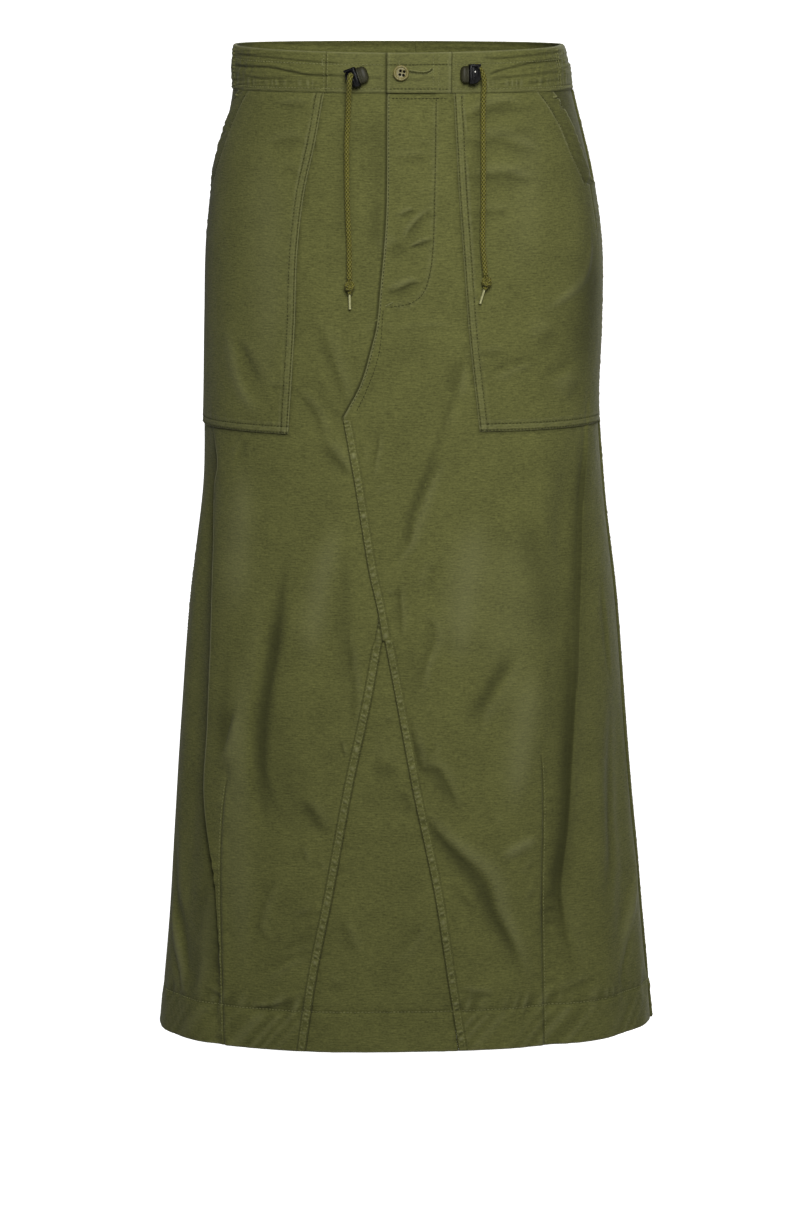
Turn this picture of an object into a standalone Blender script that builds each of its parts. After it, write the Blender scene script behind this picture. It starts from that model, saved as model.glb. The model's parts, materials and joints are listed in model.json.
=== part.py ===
"""A long cargo skirt in olive cotton, hollow and open at waist and hem, with its drawcords and hardware.

Sizes are in millimetres until cloth_point and the mesh helpers turn them into metres. The skirt hangs
from its waist: drop is the distance below the waistband's top edge, across is the distance round the
cloth from the centre front, positive towards +X, and out is the distance off the outer face of the body
cloth. The front faces -Y, and left and right are as seen from the front.
"""

import math

import bmesh
import bpy
import numpy as np
from mathutils import Matrix, Vector

MM = 0.001
GAP = 0.3
CLOTH = 1.3
BAND_THICK = 3.0
BAND_OUTER = 1.2

# Lengths down the skirt.
BAND_DROP = 42.0
OPENING_END = 128.0
UNDERLAP_END = 250.0
NOTCH_DROP = 341.0
POCKET_DROP = 356.0
APEX_DROP = 548.0
HEM_DROP = 936.0
WAIST_DIP = 5.0
HEM_TILT = 6.0

# Body sections: drop, half-width left, half-width right, depth to the front, depth to the back, squareness.
SECTIONS = (
    (0, 158, 151, 108, 98, 2.25),
    (45, 160, 161, 111, 103, 2.25),
    (120, 177, 179, 118, 120, 2.2),
    (180, 184, 188, 122, 130, 2.2),
    (260, 186, 189, 124, 134, 2.25),
    (330, 187, 187, 126, 130, 2.3),
    (400, 190, 191, 128, 128, 2.3),
    (520, 204, 204, 132, 134, 2.3),
    (680, 216, 216, 138, 146, 2.3),
    (820, 225, 230, 144, 156, 2.3),
    (945, 237, 243, 150, 166, 2.3),
)

# Drape folds: angle where they start, angle at the hem, drop where they start, drop of full depth,
# drop where they end, depth (outwards positive), half-width in degrees.
FOLDS = (
    (-72, -68, 350, 460, 1000, -5, 5),
    (67, 51, 340, 460, 1050, -5, 5),
    (84, 74, 560, 700, 1150, -5, 6),
    (-128, -124, 300, 640, 1400, 9, 12),
    (-152, -150, 260, 600, 1400, -7, 11),
    (129, 126, 300, 640, 1400, 8, 12),
    (150, 152, 280, 620, 1400, -8, 11),
)

# Seams and edges of the front, as (drop, across).
FLY_EDGE = ((42, 1), (176, 0), (221, -4), (259, -8), (279, -13), (311, -23), (341, -39))
CENTRE_SEAM = ((341, -39), (389, -30), (449, -20), (484, -14), (519, -6), (548, -1))
GODET_LEFT = ((548, -1), (604, -11), (683, -28), (792, -48), (862, -62), (936, -73))
GODET_RIGHT = ((548, 1), (604, 12), (683, 27), (792, 50), (862, 61), (936, 73))
UNDERLAP_EDGE = ((42, 38), (196, 38), (222, 32), (236, 18), (250, -5))
POCKET_INNER_LEFT = ((42, -59), (88, -67), (133, -77), (182, -83), (259, -86), (356, -92))
POCKET_INNER_RIGHT = ((42, 62), (88, 65), (133, 68), (182, 72), (259, 78), (356, 89))
OPENING_SLANT = ((42, 168), (68, 189), (99, 207), (128, 226))
BAND_JOIN_LEFT = -57.0
BAND_JOIN_RIGHT = 60.0
BAND_SIDE_JOIN = 178.0
UNDERLAP = 38.0
FLY_FLAT = 46.0
FLY_BLEND = 14.0
SIDE_SEAM_INSET = 2.0
POCKET_LINE_SLOPE = 0.14
GRID_RELAX_DROP, GRID_RELAX_ACROSS = 120.0, 36.0

BUTTON_AT = (14.0, 21.3)
BUTTON_RADIUS = 7.4
CORD_RADIUS = 2.5
KNOT_RADIUS = 5.3
AGLET_RADIUS = 1.7

# The cords' routes, as (across, drop, out) of their centre line.
CORD_LEFT = (
    (-30.2, 25, 5),
    (-30.2, 25, 14),
    (-30.4, 28, 16.6),
    (-30.9, 35, 16.2),
    (-32.6, 49, 11.0),
    (-34.2, 66, 6.0),
    (-35.4, 92, 3.6),
    (-34.6, 140, 3.0),
    (-32.7, 180, 3.2),
    (-31.8, 209, 5.0),
)
CORD_RIGHT = (
    (80.0, 18.2, 8.0),
    (85.8, 18.0, 8.2),
    (88.4, 20.6, 8.2),
    (88.9, 27, 7.8),
    (88.4, 45, 6.4),
    (88.6, 66, 5.2),
    (89.2, 92, 4.6),
    (90.0, 140, 4.6),
    (89.8, 178, 4.7),
    (91.4, 204, 6.4),
)


def smooth(rows, column, drop):
    """A column of a table at these drops, by a cubic through its rows."""
    at = np.array([row[0] for row in rows], float)
    values = np.array([row[column] for row in rows], float)
    slopes = np.gradient(values, at)
    drop = np.clip(drop, at[0], at[-1])
    low = np.clip(np.searchsorted(at, drop) - 1, 0, len(at) - 2)
    step = at[low + 1] - at[low]
    t = (drop - at[low]) / step
    start = (2 * t**3 - 3 * t**2 + 1) * values[low] + (t**3 - 2 * t**2 + t) * step * slopes[low]
    end = (3 * t**2 - 2 * t**3) * values[low + 1] + (t**3 - t**2) * step * slopes[low + 1]
    return start + end


def ramp(value, low, high):
    """0 at low and 1 at high, eased at both ends."""
    t = np.clip((value - low) / (high - low), 0, 1)
    return t * t * (3 - 2 * t)


def section(angle, drop):
    """The body's outline at a drop: an oval with its own depth on each of its four sides."""
    left, right, front, back, power = (smooth(SECTIONS, column, drop) for column in range(1, 6))
    half_width = np.where(np.sin(angle) > 0, right, left)
    depth = np.where(np.cos(angle) > 0, front, back)
    side_share = np.abs(np.sin(angle) / half_width) ** power
    front_share = np.abs(np.cos(angle) / depth) ** power
    radius = (side_share + front_share) ** (-1 / power)
    return radius * np.sin(angle), -radius * np.cos(angle)


def fold_depth(angle, drop):
    """How far the drape folds push the cloth out at an angle and a drop."""
    total = 0.0 * angle
    for start, hem, begins, full, ends, depth, width in FOLDS:
        share = np.clip((drop - begins) / (HEM_DROP - begins), 0, 1)
        centre = np.radians(start + (hem - start) * share)
        strength = ramp(drop, begins, full) * (1 - ramp(drop, ends - 180, ends))
        total = total + depth * strength * np.exp(-(((angle - centre) / math.radians(width)) ** 2))
    return total


DROPS = np.arange(0.0, 961.0, 8.0)
ANGLES = np.radians(np.arange(-180.0, 180.5, 1.0))


def girth_table():
    """The distance round the section from the centre front, for each drop and angle above."""
    angle, drop = np.meshgrid(ANGLES, DROPS)
    x, y = section(angle, drop)
    steps = np.hypot(np.diff(x, axis=1), np.diff(y, axis=1))
    girth = np.concatenate([np.zeros((len(DROPS), 1)), np.cumsum(steps, axis=1)], axis=1)
    return girth - girth[:, [len(ANGLES) // 2]]


GIRTH = girth_table()


def side_seam(drop, side):
    """Across of the side seam, where the section is at its widest: side is -1 or 1."""
    column = np.searchsorted(ANGLES, side * math.pi / 2 - 1e-6)
    return np.interp(drop, DROPS, GIRTH[:, column])


def back_seam(drop, side):
    """Across of the centre back, reached from the left (-1) or the right (1)."""
    return np.interp(drop, DROPS, GIRTH[:, -1 if side > 0 else 0])


def angle_at(across, drop):
    """The angle round the section that lies this far across."""
    across, drop = np.broadcast_arrays(np.asarray(across, float), np.asarray(drop, float))
    angle = np.empty(across.shape)
    for index in np.ndindex(across.shape):
        place = np.clip(drop[index] / 8.0, 0, len(DROPS) - 1.001)
        low = int(place)
        above = np.interp(across[index], GIRTH[low], ANGLES)
        below = np.interp(across[index], GIRTH[low + 1], ANGLES)
        angle[index] = above + (below - above) * (place - low)
    return angle


def surface(angle, drop):
    """The outer face of the body cloth, in millimetres: the section, its folds, and the level of its edges."""
    x, y = section(angle, drop)
    ahead_x, ahead_y = section(angle + 1e-3, drop)
    behind_x, behind_y = section(angle - 1e-3, drop)
    along_x, along_y = ahead_x - behind_x, ahead_y - behind_y
    length = np.hypot(along_x, along_y)
    push = fold_depth(angle, drop)
    dip = WAIST_DIP * np.clip(np.cos(angle), 0, 1) * (1 - ramp(drop, 0, BAND_DROP))
    tilt = HEM_TILT * np.sin(angle) * ramp(drop, POCKET_DROP, HEM_DROP)
    return np.stack([x + push * along_y / length, y - push * along_x / length, tilt - dip - drop], axis=-1)


def cloth_point(across, drop, out):
    """Points on the body cloth, moved out along its normal, in metres."""
    across, drop, out = np.broadcast_arrays(across, drop, out)
    angle = angle_at(across, drop)
    along = surface(angle + 0.01, drop) - surface(angle - 0.01, drop)
    down = surface(angle, drop + 2.0) - surface(angle, drop - 2.0)
    normal = np.cross(down, along)
    normal /= np.linalg.norm(normal, axis=-1, keepdims=True)
    return (surface(angle, drop) + normal * out[..., None]) * MM


def frame_at(across, drop, out, turn=0.0):
    """A placement on the cloth: X runs across, Y runs up and Z points out. turn is in degrees about Z."""
    here = Vector(cloth_point(across, drop, out))
    outwards = (Vector(cloth_point(across, drop, out + 1.0)) - here).normalized()
    across_axis = Vector((0, 0, 1)).cross(outwards).normalized()
    up_axis = outwards.cross(across_axis)
    rotation = Matrix((across_axis, up_axis, outwards)).transposed().to_4x4()
    return Matrix.Translation(here) @ rotation @ Matrix.Rotation(math.radians(turn), 4, "Z")


def material(name, colour, roughness, metallic=0.0):
    made = bpy.data.materials.new(name)
    made.use_nodes = True
    shader = made.node_tree.nodes["Principled BSDF"]
    shader.inputs["Base Color"].default_value = (*colour, 1.0)
    shader.inputs["Roughness"].default_value = roughness
    shader.inputs["Metallic"].default_value = metallic
    return made


def add_object(name, mesh, colour, roughness=0.9, metallic=0.0):
    made = bpy.data.objects.new(name, mesh)
    made.data.materials.append(material(name, colour, roughness, metallic))
    bpy.context.scene.collection.objects.link(made)
    return made


OLIVE = (0.115, 0.125, 0.045)
CORD_OLIVE = (0.13, 0.12, 0.02)
HORN = (0.35, 0.30, 0.16)
BLACK = (0.012, 0.012, 0.014)
PLUNGER_GREY = (0.09, 0.085, 0.035)
PALE_BRASS = (0.42, 0.40, 0.22)


def split_rows(stops, counts):
    """Drops from the first stop to the last, with a row on every stop."""
    rows = [stops[0]]
    for low, high, count in zip(stops, stops[1:], counts):
        rows += [low + (high - low) * (k + 1) / count for k in range(count)]
    return np.array(rows)


def columns(stations, counts):
    """Across values, a row of the grid for each drop: each pair of stations is split into so many columns."""
    parts = [stations[0][:, None]]
    for low, high, count in zip(stations, stations[1:], counts):
        shares = np.arange(1, count + 1) / count
        parts.append(low[:, None] + (high - low)[:, None] * shares)
    return np.concatenate(parts, axis=1)


def cloth_solid(name, across, rows, inner, outer, lift=None):
    """A closed wall of cloth over a grid of the body: a skin at outer, a skin at inner, and its four edges."""
    drop = np.broadcast_to(rows[:, None], across.shape)
    raised = lift(across, drop) if lift else 0.0
    skins = [cloth_point(across, drop, outer + raised), cloth_point(across, drop, inner + raised)]
    tall, wide = across.shape
    points = np.concatenate([skin.reshape(-1, 3) for skin in skins])
    behind = tall * wide
    index = np.arange(behind).reshape(tall, wide)
    faces = []
    for i in range(tall - 1):
        for j in range(wide - 1):
            first, last = index[i, j], index[i + 1, j + 1]
            for corners in ([first, index[i + 1, j], last], [first, last, index[i, j + 1]]):
                faces.append(corners)
                faces.append([corner + behind for corner in reversed(corners)])
    rim = [*index[0, ::-1], *index[1:, 0], *index[-1, 1:], *index[-2:0:-1, -1]]
    for here, there in zip(rim, rim[1:] + rim[:1]):
        faces.append([there, here, here + behind, there + behind])
    mesh = bpy.data.meshes.new(name)
    mesh.from_pydata(points.tolist(), [], [[int(corner) for corner in face] for face in faces])
    mesh.shade_smooth()
    mesh.set_sharp_from_angle(angle=math.radians(40))
    return add_object(name, mesh, OLIVE)


def fly_lift(across, drop):
    """The right front rides over the underlap by one cloth and a gap, and comes down past the fly."""
    beside = 1 - ramp(across, FLY_FLAT, FLY_FLAT + FLY_BLEND)
    below = 1 - ramp(drop, UNDERLAP_END + 12, NOTCH_DROP - 10)
    return (CLOTH + GAP) * beside * below


def band_lift(across, drop):
    """The right waistband end rides over the left one by a whole band and a gap."""
    return (BAND_THICK + GAP) * (1 - ramp(across, UNDERLAP + 3, BAND_JOIN_RIGHT - 1))


def centre_line(rows, godet_edge):
    """Across of the seam at the centre: the fly edge, the curved seam below it, then one side of the godet."""
    upper = smooth(FLY_EDGE, 1, rows)
    middle = smooth(CENTRE_SEAM, 1, rows)
    lower = smooth(godet_edge, 1, rows)
    return np.where(rows < NOTCH_DROP, upper, np.where(rows < APEX_DROP, middle, lower))


def opening_line(rows, side):
    """The pocket's outer edge: its slanted opening, then a line close beside the side seam."""
    slant = smooth(OPENING_SLANT, 1, rows)
    near_seam = np.abs(side_seam(rows, side)) - SIDE_SEAM_INSET
    return side * np.where(rows < OPENING_END, np.minimum(slant, near_seam), near_seam)


def pocket_line(rows, side):
    """The pocket's inner edge, carried on down to the hem at the same slope as guide for the grid."""
    table = POCKET_INNER_LEFT if side < 0 else POCKET_INNER_RIGHT
    below = np.clip(rows - POCKET_DROP, 0, None) * POCKET_LINE_SLOPE
    return smooth(table, 1, rows) + side * below


TOP_ROW = BAND_DROP + GAP / 2
BODY_STOPS = (TOP_ROW, OPENING_END, 196, UNDERLAP_END, NOTCH_DROP, POCKET_DROP, APEX_DROP, HEM_DROP)
BODY_COUNTS = (3, 2, 2, 3, 1, 6, 11)
BODY_ROWS = split_rows(BODY_STOPS, BODY_COUNTS)
POCKET_ROWS = BODY_ROWS[BODY_ROWS <= POCKET_DROP]
GODET_ROWS = BODY_ROWS[BODY_ROWS >= APEX_DROP].copy()
GODET_ROWS[0] += 8.0
POCKET_COLUMNS = 8


def build_fronts():
    """The two fronts, cut along the fly edge and the curved seam. The left one runs on under the fly."""
    rows = BODY_ROWS
    half = GAP / 2
    relaxed = ramp(rows, POCKET_DROP, POCKET_DROP + GRID_RELAX_DROP) * GRID_RELAX_ACROSS
    edge = centre_line(rows, GODET_LEFT) - half
    under = np.where(rows < UNDERLAP_END - 1, smooth(UNDERLAP_EDGE, 1, rows), edge)
    left = [
        side_seam(rows, -1) + half,
        opening_line(rows, -1) + relaxed,
        pocket_line(rows, -1),
        edge - 2.0,
        under,
    ]
    cloth_solid("front_left", columns(left, (3, POCKET_COLUMNS, 4, 2)), rows, -CLOTH, 0.0)
    right = [
        centre_line(rows, GODET_RIGHT) + half,
        pocket_line(rows, 1),
        opening_line(rows, 1) - relaxed,
        side_seam(rows, 1) - half,
    ]
    cloth_solid("front_right", columns(right, (5, POCKET_COLUMNS, 3)), rows, -CLOTH, 0.0, fly_lift)


def build_godet():
    """The triangle let in below the curved seam, from its apex to the hem."""
    rows = GODET_ROWS
    edges = [smooth(GODET_LEFT, 1, rows) + GAP / 2, smooth(GODET_RIGHT, 1, rows) - GAP / 2]
    cloth_solid("godet", columns(edges, (6,)), rows, -CLOTH, 0.0)


def build_pockets():
    """The two patch pockets, laid on the fronts: each takes the front's own grid, moved out."""
    rows = POCKET_ROWS
    for name, side in (("pocket_left", -1), ("pocket_right", 1)):
        edges = sorted((pocket_line(rows, side), opening_line(rows, side)), key=lambda edge: edge[0])
        lift = fly_lift if side > 0 else None
        cloth_solid(name, columns(edges, (POCKET_COLUMNS,)), rows, GAP, GAP + CLOTH, lift)


def build_backs():
    """The two plain backs, from the side seams to the centre back seam."""
    rows = BODY_ROWS
    half = GAP / 2
    left = [back_seam(rows, -1) + half, side_seam(rows, -1) - half]
    cloth_solid("back_left", columns(left, (12,)), rows, -CLOTH, 0.0)
    right = [side_seam(rows, 1) + half, back_seam(rows, 1) - half]
    cloth_solid("back_right", columns(right, (12,)), rows, -CLOTH, 0.0)


def build_band():
    """The waistband: two flat front ends that overlap, two gathered sides, and the back."""
    rows = split_rows((0.0, BAND_DROP - GAP / 2), (3,))
    half = GAP / 2
    edge = 1.0
    back_left, back_right = back_seam(rows, -1), back_seam(rows, 1)
    pieces = (
        ("band_front_left", BAND_JOIN_LEFT + half, UNDERLAP, 7, None),
        ("band_front_right", edge, BAND_JOIN_RIGHT - half, 6, band_lift),
        ("band_side_left", -BAND_SIDE_JOIN + half, BAND_JOIN_LEFT - half, 9, None),
        ("band_side_right", BAND_JOIN_RIGHT + half, BAND_SIDE_JOIN - half, 9, None),
    )
    for name, low, high, count, lift in pieces:
        across = columns([np.full(len(rows), low), np.full(len(rows), high)], (count,))
        cloth_solid(name, across, rows, BAND_OUTER - BAND_THICK, BAND_OUTER, lift)
    for name, low, high in (
        ("band_back_left", back_left + half, np.full(len(rows), -BAND_SIDE_JOIN - half)),
        ("band_back_right", np.full(len(rows), BAND_SIDE_JOIN + half), back_right - half),
    ):
        across = columns([low, high], (16,))
        cloth_solid(name, across, rows, BAND_OUTER - BAND_THICK, BAND_OUTER)


def turned(name, profile, segments, placement, colour, roughness=0.5, metallic=0.0):
    """A solid turned about its Z axis from a profile of (radius, height) in millimetres, both ends closed."""
    shape = bmesh.new()
    rings = []
    for radius, height in profile:
        turns = [2 * math.pi * k / segments for k in range(segments)]
        ring = [(radius * math.cos(t) * MM, radius * math.sin(t) * MM, height * MM) for t in turns]
        rings.append([shape.verts.new(point) for point in ring])
    for low, high in zip(rings, rings[1:]):
        for k in range(segments):
            after = (k + 1) % segments
            shape.faces.new((low[k], low[after], high[after], high[k]))
    shape.faces.new(list(reversed(rings[0])))
    shape.faces.new(rings[-1])
    mesh = bpy.data.meshes.new(name)
    shape.to_mesh(mesh)
    shape.free()
    mesh.shade_smooth()
    mesh.set_sharp_from_angle(angle=math.radians(35))
    made = add_object(name, mesh, colour, roughness, metallic)
    made.matrix_world = placement
    return made


def cut_hole(target, name, radius, length, placement):
    """A round hole through the target, along the placement's Z axis."""
    shape = bmesh.new()
    bmesh.ops.create_cone(
        shape,
        cap_ends=True,
        segments=24,
        radius1=radius * MM,
        radius2=radius * MM,
        depth=length * MM,
    )
    mesh = bpy.data.meshes.new(name)
    shape.to_mesh(mesh)
    shape.free()
    cutter = bpy.data.objects.new(name, mesh)
    bpy.context.scene.collection.objects.link(cutter)
    cutter.matrix_world = placement
    cutter.hide_render = True
    cutter.display_type = "WIRE"
    cut = target.modifiers.new(name, "BOOLEAN")
    cut.operation = "DIFFERENCE"
    cut.object = cutter


def build_button():
    """A four-hole button with a raised rim, on the outer waistband end."""
    across, drop = BUTTON_AT
    seat = BAND_OUTER + BAND_THICK + GAP + GAP
    placement = frame_at(across, drop, seat)
    radius = BUTTON_RADIUS
    profile = (
        (radius - 1.4, 0.0),
        (radius - 0.3, 0.7),
        (radius, 1.6),
        (radius - 0.3, 2.6),
        (radius - 1.1, 3.0),
        (radius - 2.0, 2.7),
        (radius - 2.8, 2.1),
    )
    button = turned("button", profile, 40, placement, HORN, 0.45)
    for k in range(4):
        turn = math.radians(45 + 90 * k)
        offset = Vector((2.0 * math.cos(turn), 2.0 * math.sin(turn), 1.0)) * MM
        hole = placement @ Matrix.Translation(offset)
        cut_hole(button, f"button_hole_{k}", 0.9, 8.0, hole)


def build_lock(side_name, across, drop, turn, inwards, lengths, cord_hole):
    """A spring cord lock: a black moulded body with the cord's hole, and a plunger on its inner side."""
    height, depth = 19.0, 11.0
    body_length, plunger_length = lengths
    middle = BAND_OUTER + GAP + 0.3 + depth / 2
    frame = frame_at(across, drop, middle, turn)
    sideways = Matrix.Rotation(math.radians(90 * inwards), 4, "Y")
    flatten = Matrix.Diagonal((depth / height, 1.0, 1.0, 1.0))
    half = height / 2
    body_profile = (
        (half - 1.6, -GAP / 2 - body_length),
        (half - 0.5, -GAP / 2 - body_length + 0.8),
        (half, -GAP / 2 - body_length + 2.4),
        (half, -GAP / 2 - 1.6),
        (half - 0.6, -GAP / 2),
    )
    body = turned(f"lock_body_{side_name}", body_profile, 32, frame @ sideways @ flatten, BLACK, 0.4)
    plunger_profile = (
        (half - 2.0, GAP / 2),
        (half - 1.6, GAP / 2 + 0.8),
        (half - 1.8, GAP / 2 + plunger_length * 0.55),
        (half - 3.4, GAP / 2 + plunger_length * 0.85),
        (half - 5.4, GAP / 2 + plunger_length),
    )
    turned(f"lock_plunger_{side_name}", plunger_profile, 32, frame @ sideways @ flatten, PLUNGER_GREY, 0.6)
    cut_hole(body, f"cord_hole_{side_name}", CORD_RADIUS + 0.5, 30.0, cord_hole)


def build_locks():
    """The locks lie on the waistband. The left one's hole faces out, the right one's faces sideways."""
    left_hole = frame_at(*CORD_LEFT[1][:2], 12.0)
    build_lock("left", -24.8, 25.2, 20.0, 1, (13.5, 9.0), left_hole)
    first, second = (Vector(cloth_point(*CORD_RIGHT[k])) for k in (0, 1))
    along = (second - first).normalized()
    right_hole = Matrix.Translation(first + along * 14.0 * MM) @ along.to_track_quat("Z", "Y").to_matrix().to_4x4()
    build_lock("right", 74.3, 23.6, 0.0, -1, (10.8, 7.2), right_hole)


def smooth_route(points, spacing):
    """Points a spacing apart on a Catmull-Rom curve through the route's own points."""
    padded = [2 * points[0] - points[1], *points, 2 * points[-1] - points[-2]]
    dense = []
    for a, b, c, d in zip(padded, padded[1:], padded[2:], padded[3:]):
        for k in range(40):
            t = k / 40
            even = 2 * b + (c - a) * t + (2 * a - 5 * b + 4 * c - d) * t * t
            dense.append((even + (3 * b - a - 3 * c + d) * t**3) / 2)
    dense.append(points[-1])
    lengths = [0.0]
    for here, there in zip(dense, dense[1:]):
        lengths.append(lengths[-1] + (there - here).length)
    count = max(2, round(lengths[-1] / spacing))
    wanted = [lengths[-1] * k / count for k in range(count + 1)]
    axes = [np.interp(wanted, lengths, [point[axis] for point in dense]) for axis in range(3)]
    return [Vector(point) for point in zip(*axes)]


def build_cord(side_name, route, knot_at, aglet_end):
    """A cord from its lock to its knot, the knot, and the metal tip that hangs below it."""
    points = [Vector(cloth_point(*place)) for place in route]
    knot = Vector(cloth_point(*knot_at))
    lower = (knot - points[-1]).normalized()
    points[-1] = knot - lower * (KNOT_RADIUS + GAP) * MM
    curve = bpy.data.curves.new(f"cord_{side_name}", "CURVE")
    curve.dimensions = "3D"
    curve.bevel_depth = CORD_RADIUS * MM
    curve.bevel_resolution = 3
    curve.use_fill_caps = True
    spline = curve.splines.new("POLY")
    path = smooth_route(points, 2.2 * CORD_RADIUS * MM)
    spline.points.add(len(path) - 1)
    for place, point in zip(spline.points, path):
        place.co = (*point, 1.0)
    add_object(f"cord_{side_name}", curve, CORD_OLIVE)
    lump = [(math.sin(math.pi * k / 12), -math.cos(math.pi * k / 12)) for k in range(1, 12)]
    profile = [(KNOT_RADIUS * wide, KNOT_RADIUS * high) for wide, high in lump]
    upright = Matrix.Translation(knot) @ (-lower).to_track_quat("Z", "Y").to_matrix().to_4x4()
    turned(f"knot_{side_name}", profile, 24, upright, CORD_OLIVE, 0.9)
    tip = Vector(cloth_point(*aglet_end))
    along = (tip - knot).normalized()
    top = knot + along * (KNOT_RADIUS + GAP) * MM
    length = (tip - top).length / MM
    aglet_profile = (
        (AGLET_RADIUS - 0.2, 0.0),
        (AGLET_RADIUS, 0.6),
        (AGLET_RADIUS, length - 1.2),
        (AGLET_RADIUS - 0.6, length),
    )
    downward = Matrix.Translation(top) @ along.to_track_quat("Z", "Y").to_matrix().to_4x4()
    turned(f"aglet_{side_name}", aglet_profile, 16, downward, PALE_BRASS, 0.35, 0.8)


def build_cords():
    build_cord("left", CORD_LEFT, (-31.5, 218.0, 6.2), (-31.6, 239.8, 3.4))
    build_cord("right", CORD_RIGHT, (93.2, 213.5, 7.6), (90.2, 231.5, 4.6))


for leftover in list(bpy.data.objects):
    bpy.data.objects.remove(leftover)

build_fronts()
build_godet()
build_pockets()
build_backs()
build_band()
build_button()
build_locks()
build_cords()
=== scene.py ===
# %% [markdown]
# # A long cargo skirt in olive cotton
# The skirt hangs as it is worn, hollow from the waist to the hem. A cutter would make it from two fronts,
# two backs, a godet, two patch pockets and a waistband, and close it with a fly, a button and two
# drawcords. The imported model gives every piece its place. This file gives each one its cloth, seams,
# stitches and folds, in the order in which a workroom would put them together.

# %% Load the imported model
import json
import math

import bpy
import numpy as np
from mathutils import Matrix, Vector

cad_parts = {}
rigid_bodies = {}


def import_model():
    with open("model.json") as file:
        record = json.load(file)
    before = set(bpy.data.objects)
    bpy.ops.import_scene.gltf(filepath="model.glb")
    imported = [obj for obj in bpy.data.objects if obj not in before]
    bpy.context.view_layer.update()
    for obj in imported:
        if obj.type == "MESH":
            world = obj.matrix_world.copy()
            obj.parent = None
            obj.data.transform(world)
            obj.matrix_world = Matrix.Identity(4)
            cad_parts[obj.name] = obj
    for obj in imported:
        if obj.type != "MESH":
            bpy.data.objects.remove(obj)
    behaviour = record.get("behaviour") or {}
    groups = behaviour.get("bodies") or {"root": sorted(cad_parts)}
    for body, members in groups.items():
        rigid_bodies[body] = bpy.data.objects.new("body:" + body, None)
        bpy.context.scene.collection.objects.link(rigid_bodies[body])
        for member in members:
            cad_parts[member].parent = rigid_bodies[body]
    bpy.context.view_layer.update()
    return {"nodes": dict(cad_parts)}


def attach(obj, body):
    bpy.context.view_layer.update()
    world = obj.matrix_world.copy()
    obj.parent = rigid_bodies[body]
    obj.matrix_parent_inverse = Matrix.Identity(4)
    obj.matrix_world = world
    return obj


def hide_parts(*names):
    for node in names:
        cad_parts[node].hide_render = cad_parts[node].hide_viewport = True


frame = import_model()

MM = 0.001
print("packed nodes:", len(frame["nodes"]))

# %% [markdown]
# ## Colours and shader nodes
# Colours are written as sRGB hex values, because that is how a colour card gives them, and one function
# turns them into the linear numbers that a shader needs. One more function adds a shader node with its
# settings and its links, so that each material below reads as a list of what it is made of.

# %% Two helpers for every material


def linear(hex_code):
    """An sRGB hex value as a linear colour with alpha 1."""
    parts = [int(hex_code[k : k + 2], 16) / 255 for k in (1, 3, 5)]
    bent = [c / 12.92 if c <= 0.04045 else ((c + 0.055) / 1.055) ** 2.4 for c in parts]
    return (*bent, 1.0)


def add(tree, kind, settings=None, links=None):
    """Adds a shader node. Settings go to its input sockets by name or number, or else to the node itself."""
    made = tree.nodes.new("ShaderNode" + kind)
    for key, value in (settings or {}).items():
        if isinstance(key, int) or key in made.inputs:
            made.inputs[key].default_value = value
        else:
            setattr(made, key, value)
    for key, source in (links or {}).items():
        tree.links.new(source, made.inputs[key])
    return made


def new_material(name):
    """An empty material: its node tree and its surface shader, linked to the output."""
    made = bpy.data.materials.new(name)
    made.use_nodes = True
    tree = made.node_tree
    tree.nodes.clear()
    shader = add(tree, "BsdfPrincipled")
    add(tree, "OutputMaterial", links={"Surface": shader.outputs[0]})
    return made, tree, shader


def set_inputs(node, values):
    """Constants on a node's input sockets, by name."""
    for key, value in values.items():
        node.inputs[key].default_value = value


print("olive in linear numbers:", [round(c, 3) for c in linear("#6B6C44")])

# %% [markdown]
# ## The cloth: garment-washed cotton back sateen
# Back sateen is a heavy cotton with its smooth side turned in, woven from a fine warp and a thicker,
# slightly uneven weft. The eye sees a matt olive with faint streaks across it, where a thick stretch of
# weft (a slub) runs through. Paler edges and crests are painted highlight, and darker creases, seams and
# recesses are painted shade. The weave itself has about 16 threads to the centimetre, which is too fine
# to show here, so the bump is drawn at twice that pitch.
# The streaks are noise stretched along the weft. They are laid out by a UV map that holds millimetres
# across and down the skirt, so that they run round the body on every panel.

# %% Cotton sateen material
# The cloth's dye, then the colours of its painted highlight and its painted shade.
CLOTH_HEX, HIGHLIGHT_HEX, SHADE_HEX = "#5A5B31", "#8C8C66", "#2A2B14"
# Sizes of the patterns across and down the skirt, in millimetres.
SLUB, GRAIN, CLOUD, CRUMPLE = (8.0, 1.3), (2.4, 1.44), (42.0, 33.6), (15.0, 10.5)
WEAVE_PITCH = 1.2
SLUB_REACH, GRAIN_REACH, CLOUD_REACH = 0.52, 0.6, 0.24


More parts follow.
